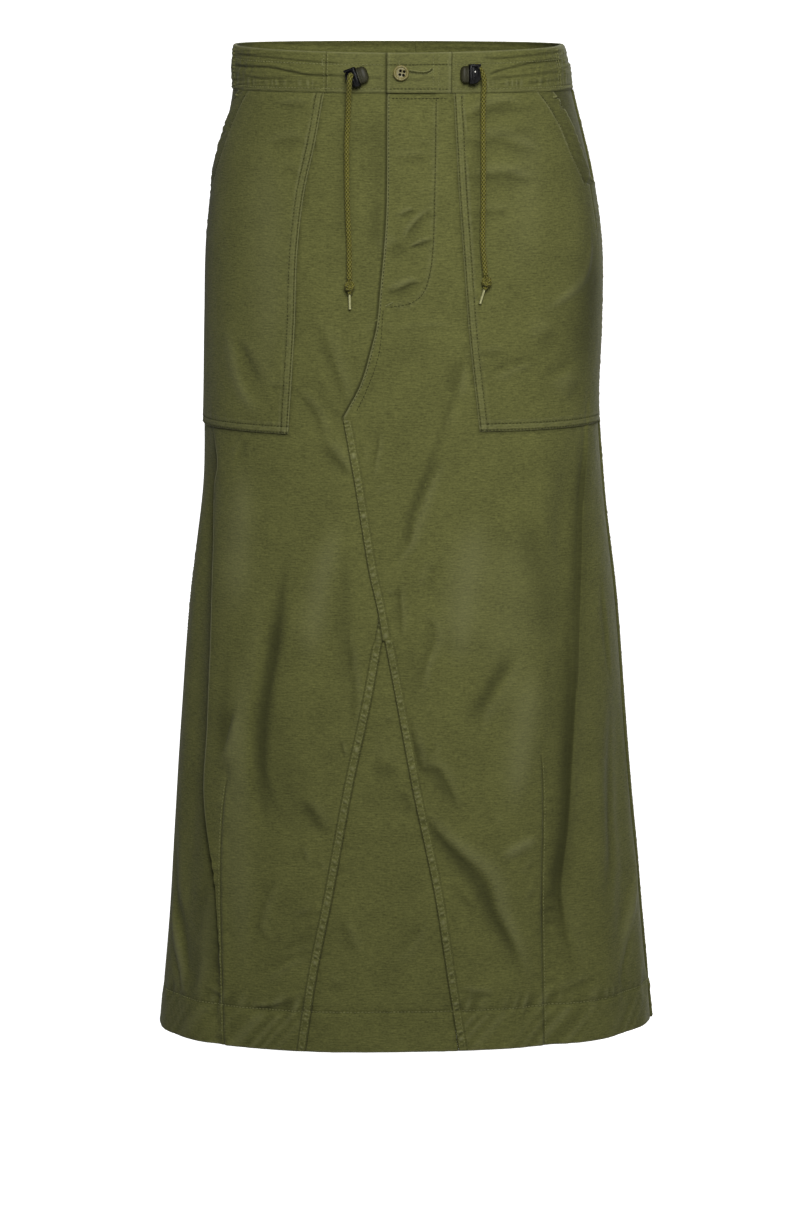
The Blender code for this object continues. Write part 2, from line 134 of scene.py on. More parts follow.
def cloth_material(name, base_hex, weave_strength=0.5):
    """Woven cotton in one dye. Two numbers on the mesh paint highlight (paler) and shade (darker) on it."""
    made, tree, shader = new_material(name)
    place = add(tree, "UVMap", {"uv_map": "cloth"}).outputs[0]

    def noise(size, detail, seed):
        scale = (1 / (size[0] * MM), 1 / (size[1] * MM), 1.0)
        moved = add(tree, "Mapping", {"Scale": scale, "Location": (seed, seed * 0.7, seed)}, {0: place})
        settings = {"Scale": 1.0, "Detail": detail, "Roughness": 0.55}
        return add(tree, "TexNoise", settings, {"Vector": moved.outputs[0]}).outputs[0]

    # Each pattern lies round 0.5, so the sum of their reaches is taken off first to leave 1 on average.
    slub, grain, cloud = noise(SLUB, 2.0, 3.0), noise(GRAIN, 3.0, 11.0), noise(CLOUD, 3.0, 23.0)
    reaches = SLUB_REACH + GRAIN_REACH + CLOUD_REACH
    level = add(tree, "Math", {"operation": "SUBTRACT", 0: 1.0, 1: reaches}).outputs[0]
    for pattern, reach in ((slub, SLUB_REACH), (grain, GRAIN_REACH), (cloud, CLOUD_REACH)):
        settings = {"operation": "MULTIPLY_ADD", 1: 2 * reach}
        level = add(tree, "Math", settings, {0: pattern, 2: level}).outputs[0]
    colour = add(tree, "HueSaturation", {"Color": linear(base_hex)}, {"Value": level}).outputs[0]
    # Painted highlight and painted shade, each mixed in by its number on the mesh.
    for label, hex_code in (("highlighted", HIGHLIGHT_HEX), ("deep", SHADE_HEX)):
        share = add(tree, "Attribute", {"attribute_name": label}).outputs["Fac"]
        settings = {"data_type": "RGBA", 7: linear(hex_code)}
        colour = add(tree, "Mix", settings, {0: share, 6: colour}).outputs[2]
    tree.links.new(colour, shader.inputs["Base Color"])

    warp_scale = 1 / (WEAVE_PITCH * MM)
    turned = add(tree, "Mapping", {"Scale": (warp_scale, warp_scale, 1.0)}, {0: place}).outputs[0]
    wave = {"Scale": 0.314, "Distortion": 0.6, "Detail": 1.0}
    warp, weft = (
        add(tree, "TexWave", {"bands_direction": axis, **wave}, {"Vector": turned}).outputs["Fac"]
        for axis in "XY"
    )
    weave = add(tree, "Math", {"operation": "MULTIPLY"}, {0: warp, 1: weft}).outputs[0]
    crumple = noise(CRUMPLE, 4.0, 31.0)
    normal = None
    for height, strength, distance in ((weave, weave_strength, 0.15), (slub, 0.5, 0.25), (crumple, 0.6, 1.5)):
        links = {"Height": height} if normal is None else {"Height": height, "Normal": normal}
        normal = add(tree, "Bump", {"Strength": strength, "Distance": distance * MM}, links).outputs[0]
    tree.links.new(normal, shader.inputs["Normal"])
    settings = {"Roughness": 0.88, "Specular IOR Level": 0.12, "Sheen Weight": 0.04, "Sheen Roughness": 0.45}
    set_inputs(shader, settings)
    return made


SATEEN = cloth_material("cotton_back_sateen", CLOTH_HEX)
THREAD = cloth_material("polycotton_sewing_thread", "#6F7046", 0.2)
# This thread is coloured dark as painted shade, for the stitch rows that sink into the cloth.
THREAD_IN_SHADE = cloth_material("polycotton_thread_painted_as_shade", "#3E3F20", 0.2)
print("cloth materials:", SATEEN.name, THREAD.name, THREAD_IN_SHADE.name)

# %% [markdown]
# ## The body's form
# Every panel lies on one form, the body of the skirt. The form is a stack of ovals, each with its own
# width and depth, as a tailor would note them down from a dress stand. A place on it is named by how far
# it lies across the cloth from the centre front and how far it drops below the waistband's top edge, in
# millimetres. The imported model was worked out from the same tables, so the looks sit where it sits.

# %% The form's tables
GAP = 0.3
CLOTH = 1.3
BAND_THICK = 3.0
BAND_OUTER = 1.2
BAND_DROP = 42.0
OPENING_END = 128.0
UNDERLAP_END = 250.0
NOTCH_DROP = 341.0
POCKET_DROP = 356.0
APEX_DROP = 548.0
HEM_DROP = 936.0
WAIST_DIP = 5.0
HEM_TILT = 6.0

# Drop, half-width left, half-width right, depth to the front, depth to the back, squareness.
SECTIONS = (
    (0, 158, 151, 108, 98, 2.25),
    (45, 160, 161, 111, 103, 2.25),
    (120, 177, 179, 118, 120, 2.2),
    (180, 184, 188, 122, 130, 2.2),
    (260, 186, 189, 124, 134, 2.25),
    (330, 187, 187, 126, 130, 2.3),
    (400, 190, 191, 128, 128, 2.3),
    (520, 204, 204, 132, 134, 2.3),
    (680, 216, 216, 138, 146, 2.3),
    (820, 225, 230, 144, 156, 2.3),
    (945, 237, 243, 150, 166, 2.3),
)

# Angle at the start, angle at the hem, drop at the start, drop of full depth, drop at the end, depth
# (outwards positive), half-width in degrees.
FOLDS = (
    (-72, -68, 350, 460, 1000, -5, 5),
    (67, 51, 340, 460, 1050, -5, 5),
    (84, 74, 560, 700, 1150, -5, 6),
    (-128, -124, 300, 640, 1400, 9, 12),
    (-152, -150, 260, 600, 1400, -7, 11),
    (129, 126, 300, 640, 1400, 8, 12),
    (150, 152, 280, 620, 1400, -8, 11),
)

# Seams and edges, as (drop, across).
FLY_EDGE = ((42, 1), (176, 0), (221, -4), (259, -8), (279, -13), (311, -23), (341, -39))
CENTRE_SEAM = ((341, -39), (389, -30), (449, -20), (484, -14), (519, -6), (548, -1))
GODET_LEFT = ((548, -1), (604, -11), (683, -28), (792, -48), (862, -62), (936, -73))
GODET_RIGHT = ((548, 1), (604, 12), (683, 27), (792, 50), (862, 61), (936, 73))
UNDERLAP_EDGE = ((42, 38), (196, 38), (222, 32), (236, 18), (250, -5))
POCKET_INNER_LEFT = ((42, -59), (88, -67), (133, -77), (182, -83), (259, -86), (356, -92))
POCKET_INNER_RIGHT = ((42, 62), (88, 65), (133, 68), (182, 72), (259, 78), (356, 89))
OPENING_SLANT = ((42, 168), (68, 189), (99, 207), (128, 226))
BAND_JOIN_LEFT = -57.0
BAND_JOIN_RIGHT = 60.0
BAND_SIDE_JOIN = 178.0
UNDERLAP = 38.0
FLY_FLAT = 46.0
FLY_BLEND = 14.0
print("sections:", len(SECTIONS), "folds:", len(FOLDS))

# %% The form's surface


def smooth(table, drop, column=1):
    """A column of a table at these drops, by a cubic through its rows."""
    at = np.array([row[0] for row in table], float)
    values = np.array([row[column] for row in table], float)
    slopes = np.gradient(values, at)
    drop = np.clip(drop, at[0], at[-1])
    low = np.clip(np.searchsorted(at, drop) - 1, 0, len(at) - 2)
    step = at[low + 1] - at[low]
    t = (drop - at[low]) / step
    start = (2 * t**3 - 3 * t**2 + 1) * values[low] + (t**3 - 2 * t**2 + t) * step * slopes[low]
    end = (3 * t**2 - 2 * t**3) * values[low + 1] + (t**3 - t**2) * step * slopes[low + 1]
    return start + end


def ramp(value, low, high):
    """0 at low and 1 at high, eased at both ends."""
    t = np.clip((value - low) / (high - low), 0, 1)
    return t * t * (3 - 2 * t)


def bell(distance, width):
    """1 on a line and falling away smoothly on both sides of it."""
    return np.exp(-((distance / width) ** 2))


def unit(vectors):
    """The same directions, each 1 long."""
    return vectors / np.linalg.norm(vectors, axis=-1, keepdims=True)


def section(angle, drop):
    """The body's outline at a drop: an oval with its own depth on each of its four sides."""
    left, right, front, back, power = (smooth(SECTIONS, drop, column) for column in range(1, 6))
    half_width = np.where(np.sin(angle) > 0, right, left)
    depth = np.where(np.cos(angle) > 0, front, back)
    side_share = np.abs(np.sin(angle) / half_width) ** power
    front_share = np.abs(np.cos(angle) / depth) ** power
    radius = (side_share + front_share) ** (-1 / power)
    return radius * np.sin(angle), -radius * np.cos(angle)


def fold_depth(angle, drop):
    """How far the drape folds push the cloth out at an angle and a drop."""
    total = 0.0 * angle
    for start, hem, begins, full, ends, depth, width in FOLDS:
        share = np.clip((drop - begins) / (HEM_DROP - begins), 0, 1)
        centre = np.radians(start + (hem - start) * share)
        strength = ramp(drop, begins, full) * (1 - ramp(drop, ends - 180, ends))
        total = total + depth * strength * bell(angle - centre, math.radians(width))
    return total


ROW_STEP, GIRTH_STEP, GIRTH_REACH = 8.0, 2.0, 720.0
DROPS = np.arange(0.0, 961.0, ROW_STEP)
ANGLES = np.radians(np.arange(-184.0, 184.5, 1.0))
angle_grid, drop_grid = np.meshgrid(ANGLES, DROPS)
outline_x, outline_y = section(angle_grid, drop_grid)
steps = np.hypot(np.diff(outline_x, axis=1), np.diff(outline_y, axis=1))
GIRTH = np.concatenate([np.zeros((len(DROPS), 1)), np.cumsum(steps, axis=1)], axis=1)
GIRTH -= GIRTH[:, [len(ANGLES) // 2]]
EVEN_GIRTH = np.arange(-GIRTH_REACH, GIRTH_REACH + 1, GIRTH_STEP)
EVEN_ANGLE = np.array([np.interp(EVEN_GIRTH, row, ANGLES) for row in GIRTH])


def angle_at(across, drop):
    """The angle round the section that lies this far across, read from a table with even steps."""
    row = np.clip(drop / ROW_STEP, 0, len(DROPS) - 1.001)
    column = np.clip((across + GIRTH_REACH) / GIRTH_STEP, 0, len(EVEN_GIRTH) - 1.001)
    i, j = row.astype(int), column.astype(int)
    u, v = row - i, column - j
    above = EVEN_ANGLE[i, j] * (1 - v) + EVEN_ANGLE[i, j + 1] * v
    below = EVEN_ANGLE[i + 1, j] * (1 - v) + EVEN_ANGLE[i + 1, j + 1] * v
    return above * (1 - u) + below * u


def surface(angle, drop):
    """The outer face of the body cloth: the section, its folds, and the level of its edges."""
    x, y = section(angle, drop)
    ahead_x, ahead_y = section(angle + 1e-3, drop)
    behind_x, behind_y = section(angle - 1e-3, drop)
    along_x, along_y = ahead_x - behind_x, ahead_y - behind_y
    length = np.hypot(along_x, along_y)
    push = fold_depth(angle, drop)
    dip = WAIST_DIP * np.clip(np.cos(angle), 0, 1) * (1 - ramp(drop, 0, BAND_DROP))
    tilt = HEM_TILT * np.sin(angle) * ramp(drop, POCKET_DROP, HEM_DROP)
    return np.stack([x + push * along_y / length, y - push * along_x / length, tilt - dip - drop], axis=-1)


def cloth_point(across, drop, out):
    """Points on the body cloth, moved out along its normal, in metres."""
    across, drop, out = np.broadcast_arrays(*(np.asarray(part, float) for part in (across, drop, out)))
    angle = angle_at(across, drop)
    along = surface(angle + 0.01, drop) - surface(angle - 0.01, drop)
    down = surface(angle, drop + 2.0) - surface(angle, drop - 2.0)
    normal = unit(np.cross(down, along))
    return (surface(angle, drop) + normal * out[..., None]) * MM


def side_seam(drop, side):
    """Across of the side seam, where the section is at its widest: side is -1 or 1."""
    column = np.searchsorted(ANGLES, side * math.pi / 2 - 1e-6)
    return np.interp(drop, DROPS, GIRTH[:, column])


def back_seam(drop, side):
    """Across of the centre back, reached from the left (-1) or the right (1)."""
    column = np.searchsorted(ANGLES, side * math.pi - 1e-6)
    return np.interp(drop, DROPS, GIRTH[:, column])


print("girth at the hem:", round(2 * back_seam(HEM_DROP, 1)), "mm")

# %% [markdown]
# ## Creases and folds
# Cloth that has been worn keeps soft troughs and ridges: long ones where it hangs from the hips, short
# ones where a seam pulls, and sharp ones where it was pressed. A simulation would put them anywhere, so
# each is placed as a stroke on the form, with its own width, depth and length. A stroke can lean:
# one of its flanks is steep, with a low ridge beside it, and the other runs out softly, because cloth that
# is pushed in on one side comes up on the other.

# %% The stroke tool


def curve_through(points, parts=8):
    """A smooth line through a few points, as an array of points."""
    points = np.array(points, float)
    padded = np.vstack([2 * points[0] - points[1], points, 2 * points[-1] - points[-2]])
    t = np.linspace(0, 1, parts, endpoint=False)[:, None]
    pieces = []
    for a, b, c, d in zip(padded, padded[1:], padded[2:], padded[3:]):
        cubic = (3 * b - a - 3 * c + d) * t**3
        pieces.append((2 * b + (c - a) * t + (2 * a - 5 * b + 4 * c - d) * t * t + cubic) / 2)
    return np.vstack(pieces + [points[-1:]])


def gone_along(line):
    """How far each point of a line lies from the line's start."""
    return np.concatenate([[0.0], np.cumsum(np.linalg.norm(np.diff(line, axis=0), axis=1))])


def stroke(across, drop, points, half_width, depth, lean=0.0, blunt=0.0):
    """A soft trough (depth below 0) or ridge along a line of (drop, across), fading at its ends."""
    line = curve_through(points)
    reach = 4 * half_width
    low, high = line.min(axis=0) - reach, line.max(axis=0) + reach
    total = np.zeros(across.shape)
    near = (drop > low[0]) & (drop < high[0]) & (across > low[1]) & (across < high[1])
    if not near.any():
        return total
    here = np.stack([drop[near], across[near]], axis=-1)
    best = np.full(len(here), 1e9)
    along, side = np.zeros(len(here)), np.zeros(len(here))
    before = gone_along(line)
    for start, end, gone, length in zip(line, line[1:], before, np.diff(before)):
        direction = (end - start) / length
        offset = here - start
        t = np.clip(offset @ direction, 0, length)
        gap = offset - t[:, None] * direction
        distance = np.hypot(gap[:, 0], gap[:, 1])
        closer = distance < best
        cross = direction[0] * offset[:, 1] - direction[1] * offset[:, 0]
        best = np.where(closer, distance, best)
        along = np.where(closer, gone + t, along)
        side = np.where(closer, np.sign(cross) * distance, side)
    share = along / before[-1]
    fade = ramp(np.minimum(share, 1 - share) / (0.36 - 0.31 * blunt) + 0.05, 0, 1)
    uneven = 1 + 0.16 * np.sin(along / (3.1 * half_width) + points[0][1])
    width = half_width * (0.65 + 0.35 * fade) * uneven
    steep = side * math.copysign(1.0, lean)
    flank = np.where(steep > 0, 0.8, 1 + 1.6 * abs(lean)) * width
    shape = bell(best, flank)
    if lean:
        shape = shape - 0.8 * abs(lean) * bell(steep - 1.9 * width, 1.4 * width)
    total[near] = depth * shape * fade * (1.6 - 0.6 * uneven)
    return total


def strokes(across, drop, table, share=1.0, blunt=0.0):
    """All the strokes of a table. Its rows are half-width, depth, a lean if there is one, and the line."""
    total = 0.0 * across
    for half_width, depth, *lean, line in table:
        total = total + stroke(across, drop, line, half_width, depth * share, *lean, blunt=blunt)
    return total


def ripple(distance, pitch, seed):
    """An uneven wave along a seam: its pitch and its height both wander."""
    turn = 2 * math.pi * distance / pitch
    wander = 1.7 * np.sin(turn / 3.3 + seed) + 1.1 * np.sin(turn / 7.9 + 2.3 * seed)
    return np.sin(turn + wander) * (0.6 + 0.4 * np.sin(turn / 5.1 + 1.9 * seed))


print("points of a curve through three:", len(curve_through(((0, 0), (10, 5), (20, 0)))))

# %% [markdown]
# The first table holds the creases that show most: the diagonal one that falls from the right pocket's
# corner, the long soft valleys over the legs, the whiskers beside the fly and the belly in the godet. The
# second holds the creases of the back, which hang in the same way from the seat.

# %% The creases' tables

# Half-width, depth, lean, then the line as (drop, across).
POCKET_CREASES = (
    # Across the right pocket, below the band: the cloth is slack there.
    (3.8, -1.8, 0.6, ((66, 68), (62, 85), (58, 98), (54, 114), (57, 130))),
    (4.3, -1.7, 0.5, ((88, 68), (88, 89), (89, 108), (94, 123), (101, 153))),
    (3.8, -1.9, 0.6, ((119, 74), (120, 92), (120, 112), (123, 127), (121, 145))),
    (3.8, -1.0, 0.5, ((152, 78), (152, 107), (150, 123))),
    (2.5, -0.9, 0.6, ((280, 87), (282, 98), (280, 114))),
    (2.5, -1.1, -0.7, ((302, 94), (296, 108), (291, 122), (288, 143))),
    (6.7, -1.6, 0.4, ((279, 140), (271, 153), (261, 167))),
    (4.8, -1.3, -0.5, ((306, 151), (298, 168), (293, 185))),
    (4.8, 1.6, 0, ((170, 212), (195, 208), (217, 195), (232, 171), (244, 147))),
    (6.7, -1.3, 0.3, ((332, 178), (321, 186), (310, 199))),
    # Across the left pocket, and the long bulge at its foot.
    (2.9, -1.0, 0.5, ((56, -110), (55, -83), (58, -71))),
    (3.3, -1.2, 0.5, ((93, -121), (88, -93), (89, -72))),
    (3.8, -0.8, 0.4, ((114, -105), (117, -82))),
    (8.6, 1.2, 0, ((256, -168), (283, -159), (311, -150), (329, -137), (341, -119))),
    (5.7, -1.2, 0.4, ((269, -153), (294, -135), (312, -125), (326, -119))),
    (2.1, -0.9, 0.6, ((316, -114), (315, -103), (316, -93))),
)
FRONT_CREASES = (
    # Whiskers beside the fly, and the two lines that its foot pulls.
    (1.4, -2.3, 0.8, ((157, 12), (152, 20), (148, 29))),
    (1.9, -2.7, 0.7, ((179, 18), (162, 29), (151, 40), (148, 47))),
    (4.3, -2.2, 0.5, ((194, 1), (185, 10), (179, 18))),
    (1.5, -2.4, 0.8, ((184, 22), (179, 36), (176, 46))),
    (2.5, -2.6, 0.7, ((226, 0), (223, 14), (217, 26), (216, 36))),
    (2.9, -1.2, 0.5, ((103, 0), (103, 23), (98, 45))),
    (2.1, -0.6, 0.6, ((86, 28), (91, 43))),
    (2.1, -0.6, 0.6, ((138, 30), (130, 45))),
    (2.1, -0.8, 0.7, ((265, -20), (259, -8), (260, 13))),
    (1.9, -0.9, 0.7, ((264, 6), (260, 19), (257, 42), (259, 72))),
    # Between the left pocket and the curved seam.
    (4.8, -1.8, 0.4, ((253, -75), (262, -63), (281, -55), (303, -46), (321, -40), (336, -32))),
    (3.3, -1.5, 0.5, ((314, -85), (326, -76), (336, -67), (353, -61), (368, -59))),
    (4.8, -2.2, 0.5, ((362, -61), (374, -53), (387, -41), (398, -31))),
    (2.9, -1.1, 0.5, ((388, -155), (376, -147), (365, -141))),
    (2.1, -0.9, 0.5, ((383, -134), (371, -129))),
    # From the right pocket's corner down to the centre seam, the sharpest of all.
    (1.9, -1.3, 0.7, ((274, 79), (282, 73))),
    (3.8, -2.3, 0.5, ((287, 74), (299, 67), (313, 64), (322, 61))),
    (4.3, -1.1, 0.4, ((324, 66), (335, 56), (348, 49))),
    (3.4, -2.6, 0.6, ((369, 58), (381, 50), (399, 41), (421, 31), (437, 25), (454, 22), (467, 14), (483, 2))),
    (3.3, -1.0, -0.5, ((470, 52), (487, 44), (502, 36))),
    # Beside the curved seam and down its right side.
    (1.9, -1.3, 0.7, ((350, -6), (366, -7), (382, -10), (400, -14))),
    (1.9, -0.8, 0.6, ((359, -19), (375, -21), (389, -21))),
    (1.5, -0.9, 0.8, ((414, -7), (408, 1), (408, 12))),
    (1.5, -1.0, 0.7, ((504, -2), (505, 6), (502, 17))),
    (2.3, -1.5, 0.6, ((489, 15), (510, 14), (533, 15), (549, 15))),
    (2.9, -1.9, 0.6, ((529, 30), (530, 43), (542, 46), (556, 43), (569, 38), (588, 34), (602, 28))),
    (3.3, -1.8, 0.5, ((614, 25), (636, 27), (656, 32), (669, 37), (671, 51), (687, 60), (702, 67),
     (714, 73))),
    (1.9, -1.0, 0.6, ((641, 44), (650, 47), (656, 41))),
    # Beside the godet's left seam, and inside the godet.
    (2.5, -1.8, 0.6, ((535, -33), (556, -33), (574, -30), (595, -27), (623, -29), (640, -33))),
    (1.7, -1.1, 0.7, ((640, -42), (650, -39), (659, -36))),
    (1.9, -0.9, 0.6, ((623, 0), (624, 12))),
    (9.6, -1.7, 0.2, ((670, -16), (671, -1), (676, 16))),
    (4.8, -1.2, 0.4, ((688, 18), (702, 22), (718, 25))),
    (3.4, -1.4, 0.5, ((806, -39), (825, -35), (836, -30), (847, -23))),
    (3.3, -1.3, 0.5, ((809, 41), (825, 31), (837, 21), (844, 6))),
    (4.8, -1.0, 0.3, ((874, -53), (876, -35))),
    # Over the right leg: facets above, then the broad diagonal that the godet throws.
    (4.8, -1.7, 0.5, ((555, 129), (571, 119), (586, 109), (599, 100), (609, 89), (618, 81), (634, 73))),
    (3.4, -1.0, 0.4, ((603, 97), (618, 92), (639, 87))),
    (5.7, -3.2, 0.6, ((702, 27), (720, 41), (744, 62), (761, 78), (776, 92), (791, 98), (808, 103),
     (834, 118), (857, 128), (882, 134))),
    (3.4, -1.3, 0.6, ((779, 57), (783, 68), (796, 78), (806, 89))),
    (6.7, 2.0, 0, ((756, 110), (745, 129), (737, 150))),
    (2.1, -0.9, 0.7, ((776, 131), (766, 141), (757, 149))),
    (2.1, -0.9, 0.7, ((800, 136), (793, 143), (788, 150))),
    (3.8, -0.9, 0.4, ((710, 99), (727, 104))),
    # The long valley over the left leg, and what it meets near the hem.
    (11, -2.6, -0.2, ((471, -92), (547, -106), (594, -113), (642, -119), (689, -119), (736, -108),
     (752, -100))),
    (4.8, -1.6, 0.5, ((450, -86), (469, -92), (491, -97), (513, -100), (537, -103), (559, -106),
     (589, -112), (611, -116), (639, -118), (668, -118), (689, -113), (708, -103), (722, -93), (735, -85))),
    (4.8, -2.4, 0.5, ((611, -147), (629, -154), (651, -162), (668, -174))),
    (4.8, -1.7, 0.4, ((698, -77), (713, -68), (732, -58))),
    (1.9, -1.2, 0.7, ((742, -79), (759, -73))),
    (2.1, -1.1, 0.7, ((754, -63), (768, -58))),
    (3.3, -1.5, 0.5, ((767, -99), (783, -109), (800, -117), (820, -122), (832, -114), (833, -97))),
    (1.9, -1.2, 0.7, ((810, -85), (806, -74), (802, -65))),
    (2.9, -1.2, 0.6, ((828, -68), (835, -83), (844, -99))),
    (2.9, -1.2, 0.6, ((840, -67), (848, -87), (860, -107), (868, -121))),
    # Dents over the hem's stitch line.
    (2.5, -1.7, 0.7, ((900, -137), (897, -111), (890, -88), (881, -74))),
    (2.3, -1.2, 0.7, ((884, -185), (889, -172), (894, -162))),
    (2.5, -1.7, 0.7, ((880, 71), (883, 88), (885, 109))),
    (2.1, -0.9, 0.7, ((888, 74), (887, 93))),
    (2.7, -1.3, 0.6, ((892, 156), (888, 172), (881, 191), (872, 210))),
    # Broad, slow swells between them.
    (16, 1.2, 0, ((560, -134), (640, -142), (720, -146), (800, -140), (880, -136))),
    (16, 1.8, 0, ((560, 140), (640, 132), (720, 122))),
    (18, -2.0, 0, ((420, 130), (500, 150), (560, 156))),
    (20, 1.6, 0, ((380, -140), (470, -146), (540, -148))),
    (14, 1.6, 0, ((430, -40), (500, -60), (580, -72))),
    (18, 1.5, 0, ((420, 90), (500, 76), (580, 70))),
)

# Painted shade along valleys, under the cords and over the hips: half-width, share of the dark, then (drop,
# across).
PAINTED_SHADE = (
    # The valley over the left leg, what runs on from it, and the slack beside it.
    (20, 0.2, ((620, -92), (660, -88), (700, -84), (750, -82))),
    (8, 0.28, ((694, -84), (714, -64), (737, -48))),
    (9, 0.2, ((600, -158), (640, -164), (700, -160))),
    (11, 0.22, ((440, -88), (471, -90), (547, -105), (594, -112), (642, -118), (689, -118), (736, -107),
     (760, -96))),
    (7, 0.25, ((556, -158), (614, -160), (655, -166))),
    (12, 0.16, ((777, -94), (823, -69), (870, -61))),
    # The diagonal that the godet throws, and its branch.
    (8, 0.26, ((674, -10), (702, 26), (744, 63), (791, 99), (834, 119), (882, 134))),
    (10, 0.3, ((600, 14), (636, 25), (668, 45), (706, 70), (722, 80))),
    (8, 0.28, ((640, 72), (603, 94), (568, 112), (545, 126))),
    # What runs on from the right fold, down to the dart.
    (9, 0.2, ((700, 178), (734, 175), (770, 168), (799, 160), (845, 150), (880, 148))),
    # Beside the curved seam and the apex.
    (9, 0.22, ((450, -34), (520, -36), (567, -35), (623, -33))),
    (6, 0.16, ((537, 23), (575, 28), (612, 27))),
    (3.5, 0.3, ((268, 79), (314, 66), (370, 47), (421, 29), (468, 13))),
    (6, 0.14, ((265, -78), (307, -61), (352, -37), (385, -24))),
    # Beside the fly, across the right pocket, and painted shadow over both hips.
    (8, 0.22, ((49, -6), (122, -6), (150, -7))),
    (9, 0.38, ((132, -8), (165, -8), (188, -9))),
    (3.2, 0.22, ((56, 85), (58, 116), (54, 155))),
    (3.2, 0.22, ((82, 85), (79, 111), (75, 148))),
    (3.2, 0.22, ((114, 89), (115, 111), (111, 136))),
    (18, 0.26, ((41, 172), (97, 202), (190, 216), (265, 220), (320, 222))),
    (24, 0.62, ((50, -195), (100, -214), (160, -222), (240, -226), (330, -226))),
    (22, 0.5, ((170, 208), (236, 204), (270, 200), (330, 200))),
    # Painted shadow under the two cords.
    (8, 0.26, ((45, -35), (66, -36.5), (92, -37.5), (140, -36.5), (180, -35), (212, -34))),
    (8, 0.26, ((45, 86), (92, 86.8), (140, 87.5), (178, 87.5), (210, 90))),
    # Down the back, below the seat.
    (10, 0.3, ((440, -332), (540, -345), (660, -370))),
    (9, 0.26, ((480, 322), (560, 348), (700, 362))),
    (8, 0.2, ((560, -430), (650, -460), (760, -500))),
    (8, 0.2, ((540, 442), (640, 452), (740, 498))),
)
# Painted light: paler patches where more light falls on the cloth.
PAINTED_LIGHT = (
    (22, 0.10, ((70, -125), (160, -115), (262, -112), (320, -112))),
    (18, 0.06, ((49, 137), (141, 134), (223, 126))),
    (20, 0.06, ((120, -330), (200, -340), (300, -350))),
    (20, 0.06, ((120, 330), (200, 342), (300, 352))),
    (34, 0.08, ((430, 120), (520, 118), (600, 122))),
)

# Over the sides, then down the back: the same kinds of crease, as the cloth hangs from the seat.
HIDDEN_CREASES = (
    (5.7, -1.6, 0.4, ((504, 184), (560, 182), (626, 181), (682, 178), (729, 174), (768, 166))),
    (2.9, -0.8, 0.4, ((764, 166), (804, 169), (833, 173), (858, 179))),
    (6.7, -2.6, 0.3, ((615, 244), (671, 240), (727, 236), (765, 236), (801, 227), (843, 221))),
    (2.9, -1.8, 0.5, ((837, 271), (859, 261), (879, 252), (903, 245))),
    (2.9, -1.5, 0.4, ((496, 229), (519, 229), (557, 234), (606, 243))),
    (3.8, -2.4, 0.5, ((790, -262), (822, -250), (854, -240), (880, -225), (911, -215))),
    (3.8, -1.6, 0.5, ((845, -187), (869, -192), (896, -197))),
    (9, 2.6, 0.0, ((760, 292), (800, 286), (855, 254), (890, 240))),
    (8, 2.8, 0.4, ((800, -259), (874, -222), (915, -214))),
    (7, 1.8, -0.4, ((770, -178), (830, -184), (905, -197))),
    (6, -2.0, 0.4, ((730, -250), (800, -240), (880, -206))),
    (8, -1.0, 0.4, ((785, 165), (820, 170), (857, 181), (880, 187))),
    (8, -2.6, 0.5, ((150, -330), (190, -360), (240, -385), (300, -400))),
    (8, -2.4, -0.5, ((160, 330), (205, 362), (250, 380), (310, 396))),
    (6, -1.8, 0.6, ((110, -400), (150, -430), (200, -450))),
    (6, -1.6, -0.6, ((120, 410), (165, 432), (215, 452))),
    (14, -4.5, 0.4, ((420, -330), (540, -345), (660, -372), (800, -380))),
    (12, -3.8, -0.4, ((460, 320), (560, 350), (700, 362), (840, 402))),
    (10, -3.0, 0.4, ((560, -430), (650, -460), (760, -500), (840, -540))),
    (12, -3.2, -0.3, ((520, 440), (640, 450), (740, 500), (860, 530))),
    (5, -1.4, 0.7, ((330, -470), (350, -440), (380, -420), (400, -380))),
    (5, -1.4, 0.7, ((300, 470), (335, 445), (360, 410), (398, 372))),
    (16, 3.2, 0.0, ((500, -400), (640, -420), (780, -440), (900, -455))),
    (16, 3.0, 0.0, ((480, 392), (620, 410), (760, 440), (900, 470))),
)
print("creases:", len(POCKET_CREASES), len(FRONT_CREASES), len(HIDDEN_CREASES))

# %% [markdown]
# ## The two side folds
# Below the pockets the fronts fold back on themselves at each side. On the left the front ends in a
# sharp edge and steps back to the side. On the right the side laps over the front, so the front turns in
# before it. Each fold follows its own line. Painted shade lies where the cloth turns in beside a fold,
# and a thin painted highlight marks the left fold's edge.

# %% The side folds
LEFT_FOLD = (
    (340, -196), (362, -190), (398, -182), (408, -186), (473, -182), (558, -181), (634, -184), (701, -188),
    (740, -181), (776, -172), (830, -167), (890, -163),
)
RIGHT_FOLD = (
    (330, 210), (367, 208), (422, 200), (477, 196), (533, 192), (598, 188), (664, 183), (729, 178),
    (793, 171), (840, 178), (879, 186),
)


def side_folds(across, drop):
    """The relief of the two side folds."""
    past = -(across - smooth(LEFT_FOLD, drop))
    grows = ramp(drop, 352, 410) * (1 - ramp(drop, 760, 890))
    lip = 1.5 * np.exp(-np.abs(past) / np.where(past < 0, 12.0, 2.0))
    back = -7.0 * np.clip(past / 2.5, 0, 1) * np.exp(-np.clip(past - 2.5, 0, None) / 24.0)
    left = grows * np.where(np.abs(past) < 150, lip + back, 0)
    past = across - smooth(RIGHT_FOLD, drop)
    grows = ramp(drop, 300, 420) * (1 - 0.6 * ramp(drop, 760, 890))
    inner = -3.2 * np.exp(np.clip(past + 0.8, None, 0) / 11.0) * ramp(-past, -3.0, 3.0)
    inner = inner - 1.0 * bell(past + 18, 14.0)
    right = grows * np.where(np.abs(past) < 150, inner, 0)
    return np.where(across < 0, left, right)


